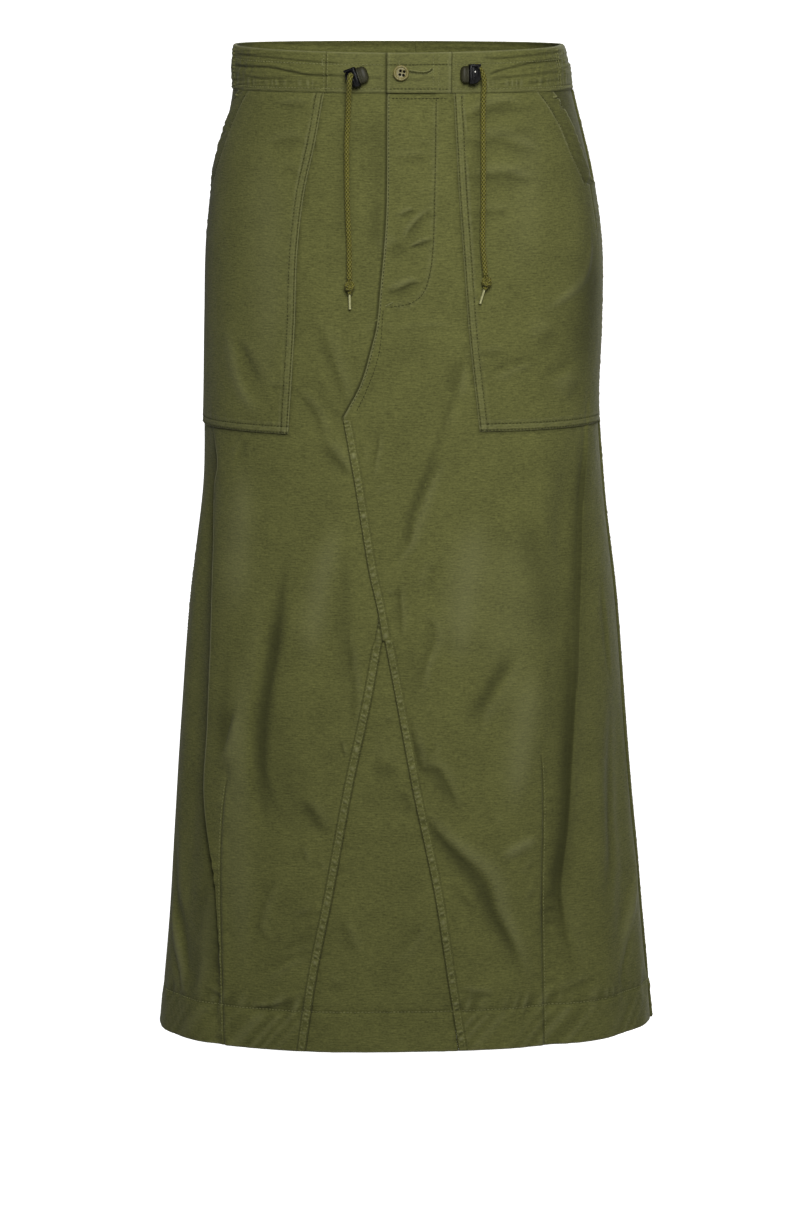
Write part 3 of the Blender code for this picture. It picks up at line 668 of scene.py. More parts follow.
def fold_shade(across, drop):
    """Painted shade where the cloth turns in beside a fold."""
    past = smooth(LEFT_FOLD, drop) - across
    left = 0.95 * np.exp(-np.clip(past, 0, None) / 13.0) * (past > 0) * (past < 70)
    inside = 0.4 * np.exp(np.clip(past, None, 0) / 6.0) * (past < -1.2)
    left = left + inside * (1 - 0.6 * ramp(drop, 480, 600))
    left = left * ramp(drop, 352, 390) * (1 - ramp(drop, 850, 900))
    past = smooth(RIGHT_FOLD, drop) - across
    right = 0.34 * np.exp(-np.clip(past, 0, None) / 16.0) * (past > -2) + 0.36 * bell(past + 1, 11.0)
    right = right * ramp(drop, 352, 400) * (1 - ramp(drop, 760, 860))
    return np.where(across < 0, left, right)


def fold_highlight(across, drop):
    """How much painted highlight lies along the left fold's edge, from 0 to 1."""
    left = bell(across - smooth(LEFT_FOLD, drop), 1.1)
    left = left * ramp(drop, 356, 380) * (1 - ramp(drop, 680, 760))
    return left * (across < 0)


print("left fold at drop 600:", round(float(smooth(LEFT_FOLD, 600.0))), "mm across")

# %% [markdown]
# ## Darts at the hem
# Each front has a long dart from the shin to the hem, which lifts the flare. Its stitched line shows as a
# thin dark valley. The cloth outside it sinks and ripples, because the dart's take-up is pressed there.

# %% Hem darts and the hem's turn-up
DART_LEFT = ((684, -157), (717, -162), (790, -164), (850, -163), (936, -159))
DART_RIGHT = ((660, 151), (699, 154), (780, 154), (850, 155), (936, 156))
HEM_STITCH = 898.0
CREASE_DEPTH = 0.85


def darts(across, drop):
    """Each dart's line, the roll inside it, and the sunk and rippled cloth outside it."""
    total = 0.0 * across
    for table, side, seed in ((DART_LEFT, -1, 0.4), (DART_RIGHT, 1, 2.1)):
        top = table[0][0]
        past = side * (across - smooth(table, drop))
        line = -1.0 * bell(past, 1.1)
        roll = 0.9 * bell(past + 4.5, 3.5) * (1 + 0.5 * ripple(drop, 21, seed))
        sunk = -2.2 * ramp(drop, 760, 860) * bell(past - 9, 8.0)
        rippled = 0.8 * ripple(drop, 17, seed + 1) * bell(past - 7, 6.0)
        tuck = 1.4 * bell(past, 5.0) * bell(drop - top + 2, 9.0)
        total = total + ramp(drop, top - 6, top + 30) * (line + roll + sunk + rippled) - tuck
    return total


def hem_waves(across, drop):
    """Two uneven waves that the hem's stitches pull: the dents above the line and the roping below it."""
    return ripple(across + 0.35 * drop, 15, 0.8), ripple(across + 0.9 * drop, 19, 3.1)


def hem_relief(across, drop):
    """The turned-up hem is double: it stands out a little, and its stitch line pulls in."""
    above = HEM_STITCH - drop
    dents, roping = hem_waves(across, drop)
    double = 0.35 * ramp(-above, -0.5, 1.0)
    pulled = -0.55 * bell(above, 1.3) - 0.5 * bell(above, 5.0)
    waves = 1.1 * dents * bell(above, 10.0) + 0.45 * roping * ramp(-above, 0, 14)
    edge = -0.5 * np.clip(1 - (HEM_DROP - drop) / 1.6, 0, 1) ** 2
    return double + pulled + waves + edge


def hem_light_and_shade(across, drop):
    """Painted highlight on crests and painted shade in troughs, from 1 to -1, where the hem's stitches rope
    and dent the cloth.
    """
    dents, roping = hem_waves(across, drop)
    return dents * bell(HEM_STITCH - 5 - drop, 8.0) + 0.8 * roping * ramp(drop - HEM_STITCH, 0, 8)


def sway(across, drop):
    """The slow unevenness of cloth that hangs free, none of it at the waist."""
    slow = 1.1 * np.sin(across / 37 + drop / 130 + 0.5) + 0.9 * np.sin(across / 23 - drop / 90 + 1.9)
    quick = 0.30 * np.sin(across / 9.1 + 2 * np.sin(drop / 61)) * np.sin(drop / 47 + across / 90)
    return ramp(drop, 60, 420) * (slow * 0.7 + quick)


def creased(across, drop):
    """The creases alone. Their troughs get painted shade and their crests painted highlight, so the colour
    reads them too.
    """
    below = strokes(across, drop, FRONT_CREASES + HIDDEN_CREASES, CREASE_DEPTH)
    return strokes(across, drop, POCKET_CREASES) + below


def relief(across, drop):
    """Everything that moves the body cloth off its form."""
    total = sway(across, drop) + side_folds(across, drop) + darts(across, drop)
    return total + hem_relief(across, drop) + creased(across, drop)


print("relief at the shin:", round(float(relief(np.array([50.0]), np.array([745.0]))[0]), 1), "mm")

# %% [markdown]
# ## From a grid to a piece of cloth
# A panel is a grid of points across and down the form. Its outer skin takes every point, and its inner
# skin takes every second one, because it is hardly seen and the file stays light. A rim joins the two,
# so each piece is closed, with a real thickness. Points crowd together where a seam or a stitch line
# needs them and spread out where the cloth is calm.

# %% The shell maker


def spread(low, high, step, fine, places, reach):
    """Places from low to high with an even number of steps: fine near the given places, step elsewhere."""
    x = np.linspace(low, high, 4000)
    density = np.full(x.shape, 1 / step)
    for place in places:
        near = np.exp(-(((x - place) / reach) ** 4))
        density = np.maximum(density, 1 / step + (1 / fine - 1 / step) * near)
    count = np.concatenate([[0.0], np.cumsum((density[1:] + density[:-1]) / 2 * np.diff(x))])
    steps = max(2, 2 * round(count[-1] / 2))
    return np.interp(np.linspace(0, count[-1], steps + 1), count, x)


def new_mesh(name, points, faces_by_size, uv_by_point):
    """A smooth mesh from arrays: the faces come as one array for each number of corners."""
    mesh = bpy.data.meshes.new(name)
    corners = np.concatenate([faces.ravel() for faces in faces_by_size])
    sizes = np.concatenate([np.full(len(faces), faces.shape[1]) for faces in faces_by_size])
    mesh.vertices.add(len(points))
    mesh.vertices.foreach_set("co", points.astype(np.float32).ravel())
    mesh.loops.add(len(corners))
    mesh.loops.foreach_set("vertex_index", corners.astype(np.int32))
    mesh.polygons.add(len(sizes))
    starts = np.concatenate([[0], np.cumsum(sizes)[:-1]])
    mesh.polygons.foreach_set("loop_start", starts.astype(np.int32))
    mesh.update(calc_edges=True)
    mesh.validate()
    layer = mesh.uv_layers.new(name="cloth")
    layer.data.foreach_set("uv", uv_by_point[corners].astype(np.float32).ravel())
    mesh.shade_smooth()
    return mesh


def place_piece(name, mesh, material, nodes=()):
    """Puts a finished mesh into the scene, on the skirt's body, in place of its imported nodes."""
    made = bpy.data.objects.new(name, mesh)
    made.data.materials.append(material)
    bpy.context.scene.collection.objects.link(made)
    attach(made, "root")
    if nodes:
        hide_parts(*nodes)
    return made


def mark(mesh, name, values):
    """Keeps a number for each point, which the materials read."""
    layer = mesh.attributes.new(name, "FLOAT", "POINT")
    layer.data.foreach_set("value", np.asarray(values, np.float32).ravel())


def shell(name, across, drop, out, thick, nodes=(), highlighted=0.0, deep=0.0):
    """A closed shell of cloth over a grid of the form. Rows run down it and columns run across."""
    tall, wide = across.shape
    outer = cloth_point(across, drop, out)
    inner = cloth_point(across[::2, ::2], drop[::2, ::2], out[::2, ::2] - thick)
    index = np.arange(tall * wide).reshape(tall, wide)
    behind = tall * wide + np.arange(inner.shape[0] * inner.shape[1]).reshape(inner.shape[:2])

    def quads(grid):
        corners = (grid[:-1, :-1], grid[1:, :-1], grid[1:, 1:], grid[:-1, 1:])
        return np.stack([part.ravel() for part in corners], axis=1)

    def loop(grid):
        return np.concatenate([grid[0, :0:-1], grid[:-1, 0], grid[-1, :-1], grid[:0:-1, -1]])

    near, far = loop(index), loop(behind)
    here, middle, there = near[::2], near[1::2], np.roll(near[::2], -1)
    a, b = far, np.roll(far, -1)
    points = np.concatenate([outer.reshape(-1, 3), inner.reshape(-1, 3)])
    uv = np.stack([across, -drop], axis=-1) * MM
    uv = np.concatenate([uv.reshape(-1, 2), uv[::2, ::2].reshape(-1, 2)])
    faces = [
        np.concatenate([quads(index), quads(behind)[:, ::-1], np.stack([middle, here, a, b], axis=1)]),
        np.stack([there, middle, b], axis=1),
    ]
    mesh = new_mesh(name, points, faces, uv)
    blank = np.zeros(inner.shape[0] * inner.shape[1])
    # Each outer point carries its share of painted highlight and painted shade; the inner skin has none.
    for label, values in (("highlighted", highlighted), ("deep", deep)):
        mark(mesh, label, np.concatenate([np.broadcast_to(values, across.shape).ravel(), blank]))
    return place_piece(name, mesh, SATEEN, nodes)


# How much painted shade a crease's trough takes, how much painted highlight its crest takes, and the darkest
# share of painted shade.
TROUGH_SHADE, CREST_HIGHLIGHT, DARKEST = 0.16, 0.11, 0.8


def painted_light_and_shade(across, drop):
    """How much painted shade and painted highlight the creases and the two painted tables give: two numbers
    from 0 to 1.
    """
    form = creased(across, drop)
    dark = np.clip(-form * TROUGH_SHADE, 0, 0.5) + strokes(across, drop, PAINTED_SHADE)
    pale = np.clip(form * CREST_HIGHLIGHT, 0, 0.3) + strokes(across, drop, PAINTED_LIGHT)
    return np.clip(dark, 0, 0.7), pale


def cloth_piece(name, across, drop, out, highlight, deep, thick=1.0):
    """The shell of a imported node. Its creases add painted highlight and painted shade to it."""
    trough, crest = painted_light_and_shade(across, drop)
    highlight, deep = np.clip(highlight + crest, 0, 1), np.clip(deep + trough, 0, DARKEST)
    return shell(name, across, drop, out, thick, [name], highlight, deep)


def between(low, high, shares):
    """A row of places for each drop, from low to high at these shares."""
    return low[:, None] + (high - low)[:, None] * shares[None, :]


def stations(lines, step, fine, reach):
    """A row of places for each drop, through lines given at every drop: fine near each line."""
    parts = [lines[0][:, None]]
    for low, high in zip(lines, lines[1:]):
        width = float((high - low).mean())
        shares = spread(0, width, step, fine, (0, width), reach) / width
        parts.append(between(low, high, shares[1:]))
    return np.concatenate(parts, axis=1)


print("rows for 100 mm, fine in the middle:", len(spread(0, 100, 3, 1, (50,), 10)))

# %% [markdown]
# ## Edges of the pieces
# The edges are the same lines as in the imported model. The fly edge bends into the curved seam, which
# splits round the godet. The right front rides over the left one at the fly by a cloth's thickness.

# %% Edge lines


def fly_lift(across, drop):
    """The right front rides over the underlap by one cloth and a gap, and comes down past the fly."""
    beside = 1 - ramp(across, FLY_FLAT, FLY_FLAT + FLY_BLEND)
    below = 1 - ramp(drop, UNDERLAP_END + 12, NOTCH_DROP - 10)
    return (CLOTH + GAP) * beside * below


def centre_line(rows, godet_edge):
    """The fly edge, the curved seam below it, then one side of the godet."""
    upper = smooth(FLY_EDGE, rows)
    middle = smooth(CENTRE_SEAM, rows)
    lower = smooth(godet_edge, rows)
    return np.where(rows < NOTCH_DROP, upper, np.where(rows < APEX_DROP, middle, lower))


def opening_line(rows, side):
    """The pocket's outer edge: its slanted opening, then a line close beside the side seam."""
    near_seam = np.abs(side_seam(rows, side)) - 2.0
    slant = np.minimum(smooth(OPENING_SLANT, rows), near_seam)
    return side * np.where(rows < OPENING_END, slant, near_seam)


def pocket_line(rows, side):
    """The pocket's inner edge."""
    table = POCKET_INNER_LEFT if side < 0 else POCKET_INNER_RIGHT
    return smooth(table, rows)


def edge_round(distance, reach=1.4, depth=0.5):
    """A folded edge rolls away from the eye."""
    return -depth * np.clip(1 - distance / reach, 0, 1) ** 2


def seam_dip(distance):
    """Cloth dips into a seam. The dark line along it is painted shade, given apart from this."""
    return -0.4 * bell(distance, 1.3) - 0.4 * bell(distance, 6.0)


SEAM_GAP = 0.1
TOP_ROW = BAND_DROP + SEAM_GAP / 2
FINE_ROWS = (TOP_ROW, 154, 166, 178, 190, 220, HEM_STITCH, HEM_DROP)
BODY_ROWS = spread(TOP_ROW, HEM_DROP, 2.7, 1.0, FINE_ROWS, 7)
BACK_ROWS = spread(TOP_ROW, HEM_DROP, 3.2, 1.0, (TOP_ROW, HEM_STITCH, HEM_DROP), 7)
print("rows down the body:", len(BODY_ROWS))

# %% [markdown]
# ## The two fronts
# The left front runs on under the fly as an underlap. The right front ends in the fly's folded edge.
# Both keep clear below the pockets, and both dip where a seam draws them in.

# %% Fronts
POCKET_FOOT = {-1: POCKET_DROP + 1.5, 1: POCKET_DROP - 3.5}


def under_pocket(across, drop, side):
    """1 under a pocket, where the front is hidden and keeps clear of it."""
    inner, outer = pocket_line(drop, side), opening_line(drop, side)
    inside = ramp(side * (across - inner), 3, 8) * ramp(side * (outer - across), 3, 8)
    return inside * (1 - ramp(drop, POCKET_DROP - 14, POCKET_DROP - 9))


def pocket_shadow(across, drop, side):
    """Painted shadow on the cloth right beside and below a pocket's edge."""
    inner = pocket_line(drop, side)
    foot = POCKET_FOOT[side]
    beside = bell(across - inner, 1.6) * (drop < foot)
    past = side * (across - inner)
    below = bell(drop - foot - 1, 1.8) * (past > -1) * (np.abs(across) < 203)
    return 0.4 * np.clip(beside + below, 0, 1)


def in_opening(across, drop, side):
    """Painted shade on the front that shows in a pocket's opening, which lies in the pocket's shade."""
    past = side * across - np.abs(opening_line(drop, side))
    shaded = ramp(past, -3, 0) * (0.42 + 0.15 * np.exp(-np.clip(past, 0, None) / 4.0))
    return shaded * (1 - ramp(drop, OPENING_END, OPENING_END + 25)) * (np.abs(across) < 250)


FLY_CURVE = ((46, 46), (110, 46), (176, 45), (206, 42), (224, 36), (233, 26), (236, 15), (238, 3))
# The fly's stitch line at each drop, carried on down the front as a guide for the grid.
FLY_CURVE_COLUMN = ((42, 48), (110, 48), (176, 47), (206, 44), (260, 40), (341, 20), (548, 40), (936, 112))
# How wide the painted shade along a seam or a stitch row is.
LINE_WIDTH = 0.9
rows = BODY_ROWS
half = SEAM_GAP / 2
edge_left = centre_line(rows, GODET_LEFT) - half
under = np.where(rows < UNDERLAP_END - 1, smooth(UNDERLAP_EDGE, rows), edge_left)
edge_right = centre_line(rows, GODET_RIGHT) + half
seam_left, seam_right = side_seam(rows, -1) + half, side_seam(rows, 1) - half


def fold_column(rows, side):
    """The side fold's line, carried up to the waist inside the side seam."""
    if side < 0:
        return np.maximum(smooth(LEFT_FOLD, rows), side_seam(rows, -1) + 10)
    return np.minimum(smooth(RIGHT_FOLD, rows), side_seam(rows, 1) - 10)


def front(name, low, high, side, centre_edge):
    """One front. Its centre edge is folded and free down to the notch, and sewn below it."""
    dart_table = DART_LEFT if side < 0 else DART_RIGHT
    fold, dart = fold_column(rows, side), smooth(dart_table, rows)
    fly_band = np.maximum(smooth(FLY_CURVE_COLUMN, rows), centre_edge + 30)
    fly = np.minimum(smooth(FLY_EDGE, rows), high - 6)
    right_lines = (low, (low + fly_band) / 2, fly_band, dart, fold, high)
    across = stations((low, fold, dart, fly, high) if side < 0 else right_lines, 2.8, 0.8, 4.5)
    drop = np.broadcast_to(rows[:, None], across.shape)
    centre_gap = np.abs(across - centre_edge[:, None])
    side_gap = np.abs(across - (high if side > 0 else low)[:, None])
    dart_gap = across - smooth(dart_table, drop)
    sewn = ramp(drop, NOTCH_DROP - 4, NOTCH_DROP + 4)
    lift = fly_lift(across, drop) if side > 0 else 0.0
    puckers = 0.4 * ripple(drop + 0.3 * across, 13, 1.2) * bell(centre_gap - 11, 6.0)
    out = relief(across, drop) + lift + seam_dip(side_gap) + 0.2 * seam_dip(drop - TOP_ROW)
    out = out + (seam_dip(centre_gap) + puckers) * sewn + edge_round(centre_gap) * (1 - sewn)
    out = out - 0.5 * under_pocket(across, drop, side)
    # Painted shade along the seams, stitch lines and dart, beside the folds and pockets, and in the openings.
    deep = 0.3 * bell(centre_gap, LINE_WIDTH) * sewn + 0.3 * bell(side_gap, LINE_WIDTH)
    deep = deep + 0.12 * bell(drop - TOP_ROW, LINE_WIDTH) + 0.5 * bell(drop - HEM_STITCH, LINE_WIDTH)
    deep = deep + 0.5 * bell(dart_gap, LINE_WIDTH) * (drop > dart_table[0][0])
    deep = deep + fold_shade(across, drop) + pocket_shadow(across, drop, side)
    deep = deep + in_opening(across, drop, side)
    marks = hem_light_and_shade(across, drop)
    # Painted highlight on the left fold's edge, the hem's edge and the hem's roping.
    highlight = 0.8 * fold_highlight(across, drop) + 0.45 * bell(HEM_DROP - drop, 1.0) + 0.18 * marks
    # Left: painted shadow under the fly's edge. Right: painted shade along the fly's stitch line, painted
    # highlight on the puckers beside it and along the fly's edge.
    if side < 0:
        deep = deep + 0.85 * bell(across - smooth(FLY_EDGE, drop) + 0.9, 1.2) * (1 - sewn)
    else:
        beads = ripple(across + drop, 6.5, 1.1)
        line, around_it = (stroke(across, drop, FLY_CURVE, width, 1.0, 0, 1) for width in (LINE_WIDTH, 2.6))
        deep = deep + 0.34 * line * (0.8 - 0.35 * beads)
        highlight = highlight + 0.12 * (around_it - line).clip(0, 1) * (1 + 0.8 * beads)
        highlight = highlight + 0.35 * bell(centre_gap - 1.2, 0.9) * (1 - sewn)
    deep = np.clip(deep, 0, DARKEST) - 0.28 * np.minimum(marks, 0)
    return cloth_piece(name, across, drop, out, highlight, deep)


front_left = front("front_left", seam_left, under, -1, edge_left)
front_right = front("front_right", edge_right, seam_right, 1, edge_right)
print("front faces:", len(front_left.data.polygons), len(front_right.data.polygons))

# %% [markdown]
# ## Godet and backs
# The godet is a tall triangle that lets the hem open for a stride. The two backs are plain, and meet at
# a centre back seam.

# %% Godet and backs
# How the seams ripple a panel: height, pitch, seed, and how far in the ripple fades.
GODET_PUCKERS, BACK_PUCKERS = (0.5, 15, 0.7, 9.0), (0.45, 17, 1.7, 10.0)


def panel(name, rows, low, high, spacing, puckers):
    """A plain panel between two seams. spacing is the grid's step, its step at the seams, and their reach."""
    width = float((high - low).mean())
    step, fine, reach = spacing
    across = between(low, high, spread(0, width, step, fine, (0, width), reach) / width)
    drop = np.broadcast_to(rows[:, None], across.shape)
    edge_gap = np.minimum(across - low[:, None], high[:, None] - across)
    height, pitch, seed, fades = puckers
    out = relief(across, drop) + seam_dip(edge_gap) + 0.2 * seam_dip(drop - TOP_ROW)
    out = out + height * ripple(drop, pitch, seed) * bell(edge_gap, fades)
    # Painted shade along the seams, the hem's stitch line and the band seam; painted highlight along the
    # hem's edge.
    deep = 0.35 * bell(edge_gap, LINE_WIDTH) + 0.35 * bell(drop - HEM_STITCH, LINE_WIDTH)
    deep = deep + 0.25 * bell(drop - TOP_ROW, LINE_WIDTH)
    return cloth_piece(name, across, drop, out, 0.45 * bell(HEM_DROP - drop, 1.0), deep)


godet_rows = spread(APEX_DROP + 1, HEM_DROP, 2.6, 1.0, (HEM_STITCH, HEM_DROP), 7)
godet_low = smooth(GODET_LEFT, godet_rows) + half
godet_high = smooth(GODET_RIGHT, godet_rows) - half
godet = panel("godet", godet_rows, godet_low, godet_high, (2.6, 0.8, 8), GODET_PUCKERS)
back_left_edges = back_seam(BACK_ROWS, -1) + half, side_seam(BACK_ROWS, -1) - half
back_right_edges = side_seam(BACK_ROWS, 1) + half, back_seam(BACK_ROWS, 1) - half
back_left = panel("back_left", BACK_ROWS, *back_left_edges, (3.6, 0.9, 7), BACK_PUCKERS)
back_right = panel("back_right", BACK_ROWS, *back_right_edges, (3.6, 0.9, 7), BACK_PUCKERS)
print("godet and back faces:", len(godet.data.polygons), len(back_left.data.polygons))

# %% [markdown]
# ## Patch pockets
# Each pocket is one long patch, sewn on with two rows of stitches along its inner edge and its foot. Its
# slanted top corner is left open for the hand, and slackens a little there. Because it lies on the
# front, it takes the front's own relief and moves it out.

# %% Pockets
POCKET_OUT = GAP + CLOTH
STITCH_NEAR, STITCH_FAR = 1.4, 7.2
OPENING_HEM = 21.0


def pocket(name, side):
    """One pocket, with the two edges and the rows that it is cut by."""
    foot = POCKET_FOOT[side]
    rows = spread(TOP_ROW, foot, 2.2, 0.8, (TOP_ROW, foot), 8)
    inner, outer = pocket_line(rows, side), opening_line(rows, side)
    low, high = (outer, inner) if side < 0 else (inner, outer)
    fold = np.minimum(np.abs(fold_column(rows, side)), np.abs(outer) - 8) * side
    hem = outer - side * OPENING_HEM
    guides = sorted((low, fold, hem, high), key=np.mean)
    if np.any(np.abs(fold - hem) < 4):
        guides = [low, fold, high]
    across = stations(guides, 2.2, 0.8, 6)
    drop = np.broadcast_to(rows[:, None], across.shape)
    from_inner, from_outer = np.abs(across - inner[:, None]), np.abs(across - outer[:, None])
    from_foot = foot - drop
    slack = ramp(drop, 50, 80) * (1 - ramp(drop, 115, 150)) * bell(from_outer, 16)
    lift = fly_lift(across, drop) if side > 0 else 0.0
    out = relief(across, drop) + lift + POCKET_OUT + 1.6 * slack - 1.2 * bell(drop - TOP_ROW, 5.0)
    out = out + edge_round(from_inner) + edge_round(from_foot) + edge_round(from_outer)
    out = out + 0.35 * ripple(drop, 13, 2.7) * bell(from_inner - 9, 5)
    out = out + 0.30 * ripple(across, 12, 0.3) * bell(from_foot - 9, 5)
    deep = highlight = 0.0 * out
    # Painted shade along each stitch row, and painted highlight on the ridges beside it.
    for gap in (from_inner, from_foot):
        for inset in (STITCH_NEAR, STITCH_FAR):
            from_row = gap - inset
            ridges = bell(from_row + 1.7, 0.8) + bell(from_row - 1.7, 0.8)
            out = out - 0.28 * bell(from_row, LINE_WIDTH)
            deep = deep + 0.5 * bell(from_row, 0.75) * (0.75 + 0.25 * ripple(across + drop, 5, 0.2))
            highlight = highlight + 0.17 * ridges * (1 + 0.5 * ripple(across + drop, 7.5, 1.1))
    # The opening's hem is a strip of double cloth with a pebbly surface.
    open_here = 1 - ramp(drop, OPENING_END + 30, OPENING_END + 70)
    hem_gap = from_outer - OPENING_HEM
    pebbles = ripple(drop + 0.3 * across, 8.0, 2.0) * np.sin(from_outer / 3.1 + 1.7 * np.sin(drop / 7.0))
    strip = ramp(-hem_gap, 0, 3) * open_here
    out = out + 0.9 * pebbles * strip - 0.5 * bell(hem_gap, 1.0) * open_here
    # Painted shade over the opening's hem, most between its pebbles, and along its edge; painted highlight
    # along its line and along the pocket's edges.
    deep = deep + (0.16 - 0.18 * pebbles) * strip + 0.3 * bell(hem_gap + 1.5, 1.3) * open_here
    highlight = highlight + 0.42 * bell(hem_gap - 1.0, 1.2) * open_here * (0.8 + 0.4 * ripple(drop, 9, 0.7))
    highlight = highlight + 0.2 * bell(np.minimum(from_inner, from_foot), 0.8)
    highlight = highlight + 0.8 * bell(from_outer - 0.8, 1.2) + fold_highlight(across, drop)
    return cloth_piece(name, across, drop, out, highlight, deep, 1.1), low, high, rows


pocket_left, *pocket_left_cut = pocket("pocket_left", -1)
pocket_right, *pocket_right_cut = pocket("pocket_right", 1)
print("pocket faces:", len(pocket_left.data.polygons))

# %% [markdown]
# ## Felled seams
# The curved seam and the godet's two seams are felled: the allowances are folded to one side and stitched
# down. That makes a raised tape of cloth beside the ditch, and because thread draws up more than cloth
# does, the tape puckers into a row of small beads: painted highlight on them, painted shade between them
# and in two thin lines along the ditch and the tape's edge. It is modelled as a strip of its own, fine
# enough for the beads, on top of the front.

# %% Felled seam strips
FELL_OUT, FELL_WIDTH, FELL_COLUMNS = 0.9, 9.0, 15
HEM_END = HEM_DROP - 0.5


def fell(name, ditch, side, seed, low_drop=TOP_ROW, high_drop=HEM_END, lift=None, taper=0.0, step=1.05):
    """A raised tape from the ditch towards one side. ditch gives its line at each drop.
    It grows to its full width over the taper, where it comes out from under another seam."""
    rows = spread(low_drop, high_drop, step, step, (), 5)
    grown = np.clip((rows - low_drop) / taper, 0.12, 1) if taper else np.ones(len(rows))
    width = FELL_WIDTH * grown[:, None]
    from_ditch = np.linspace(0, 1, FELL_COLUMNS)[None, :] * width
    across = ditch(rows)[:, None] + side * from_ditch
    if side < 0:
        across, from_ditch = across[:, ::-1], from_ditch[:, ::-1]
    drop = np.broadcast_to(rows[:, None], across.shape)
    raised = FELL_OUT * ramp(from_ditch, -0.3, 1.2) * (1 - 0.8 * ramp(from_ditch, width - 1.4, width))
    beads = 0.55 * ripple(drop + 0.4 * from_ditch, 5.6, seed) + 0.22 * ripple(drop, 12.5, seed + 1.3)
    middle = bell(from_ditch - 0.45 * width, 2.0)
    out = relief(across, drop) + 0.15 + raised + (beads + 0.25) * middle
    out = out + (lift(across, drop) if lift else 0.0)
    # Painted shade along the ditch, the tape's edge and between the beads; painted highlight on the beads.
    deep = 0.42 * bell(from_ditch - 0.5, 0.7) + 0.38 * bell(from_ditch - width + 0.9, 0.7)
    deep = deep + 0.36 * np.clip(-beads / 0.5, 0, 1) * middle
    highlight = 0.46 * np.clip(beads / 0.5, 0, 1) * middle
    return shell(name, across, drop, out, 0.8, (), highlight, np.clip(deep, 0, DARKEST))


def line_of(table):
    """A table's line as a function of the drop."""
    return lambda rows: smooth(table, rows)


def godet_left_line(rows):
    """The godet's left seam, carried up under the centre seam."""
    return np.where(rows < APEX_DROP, smooth(CENTRE_SEAM, rows), smooth(GODET_LEFT, rows))


# The seams at the sides and the back: name, ditch, side and seed.
HIDDEN_SEAMS = (
    ("fell_side_left", lambda rows: side_seam(rows, -1), -1, 0.9),
    ("fell_side_right", lambda rows: side_seam(rows, 1), 1, 2.4),
    ("fell_back", lambda rows: back_seam(rows, 1) - 8.5, 1, 2.9),
)
fells = [
    fell("fell_centre", line_of(CENTRE_SEAM), 1, 0.4, NOTCH_DROP + 2, APEX_DROP, fly_lift),
    fell("fell_godet_left", godet_left_line, -1, 1.9, APEX_DROP - 22, taper=26.0),
    fell("fell_godet_right", line_of(GODET_RIGHT), 1, 3.2, APEX_DROP - 1),
]
fells += [fell(*seam, step=1.5) for seam in HIDDEN_SEAMS]
print("felled seams:", len(fells), "with", sum(len(strip.data.polygons) for strip in fells), "faces")

# %% [markdown]
# ## Waistband
# The band is a tube of cloth with the drawcord's channel sewn into it. The two front ends are flat and
# overlap for the button. The sides and the back are gathered on the cord, so they swell between the
# stitch lines and wrinkle along them.

# %% Waistband
BAND_LIFT_END = 3.0
BAND_STITCHES = (12.3, 38.0)
CHANNEL_LEFT = ((19, -177), (18.7, -152), (18.1, -117), (21.4, -94), (24.1, -78), (24.8, -63), (24.3, -44))
CHANNEL_RIGHT = ((26.7, 93), (22.6, 98), (19.8, 106), (17.1, 118), (14, 138), (13.2, 163), (14, 190))
# Half-width, depth, lean, then the line as (drop, across).
BAND_CREASES = (
    (1.3, -1.3, 0.5, CHANNEL_LEFT),
    (1.2, -1.2, 0.5, CHANNEL_RIGHT),
    (1.1, -0.8, 0.5, ((6.5, -176), (7.6, -145), (8.5, -105), (9.6, -83), (10.7, -58), (11.3, -39))),
    (1.0, -0.5, 0.6, ((29, -176), (28, -150), (30, -124), (29, -96))),
    (1.2, -0.8, 0.5, ((7, 86), (7.7, 106), (7.3, 121), (6, 151), (5.5, 192))),
    (1.1, -0.7, 0.5, ((29.7, 92), (28, 106), (26.5, 126), (24.6, 157), (24, 188))),
    (1.0, -0.5, 0.5, ((34, 130), (33, 152), (31, 186))),
    (1.5, -0.5, 0.4, ((24, -56), (25, -44), (25, -32))),
    (1.4, -0.5, 0.4, ((28, -26), (27, -12), (28, -3))),
    (2.2, -0.4, 0.4, ((27, 8), (29, 24), (27, 44))),
    (1.2, -0.9, 0.5, ((14, -300), (18, -260), (15, -215))),
    (1.2, -0.9, -0.5, ((24, -340), (21, -300), (25, -250))),
    (1.2, -0.8, 0.5, ((7, -420), (9, -360), (6, -290))),
    (1.2, -0.9, 0.5, ((15, 300), (19, 260), (16, 215))),
    (1.2, -0.9, -0.5, ((25, 345), (22, 300), (26, 250))),
    (1.2, -0.8, 0.5, ((8, 430), (6, 370), (9, 300))),
)


def band_lift(across):
    """The right end rides over the left one by a whole band and a gap."""
    return (BAND_THICK + GAP) * (1 - ramp(across, UNDERLAP + BAND_LIFT_END, BAND_JOIN_RIGHT - 1))


def band_puckers(across, drop):
    """The small puckers above the lower stitch line, none of them on the flat front ends."""
    return ripple(across, 6.4, 1.9) * bell(drop - 33, 3.4) * ramp(np.abs(across), 58, 74)


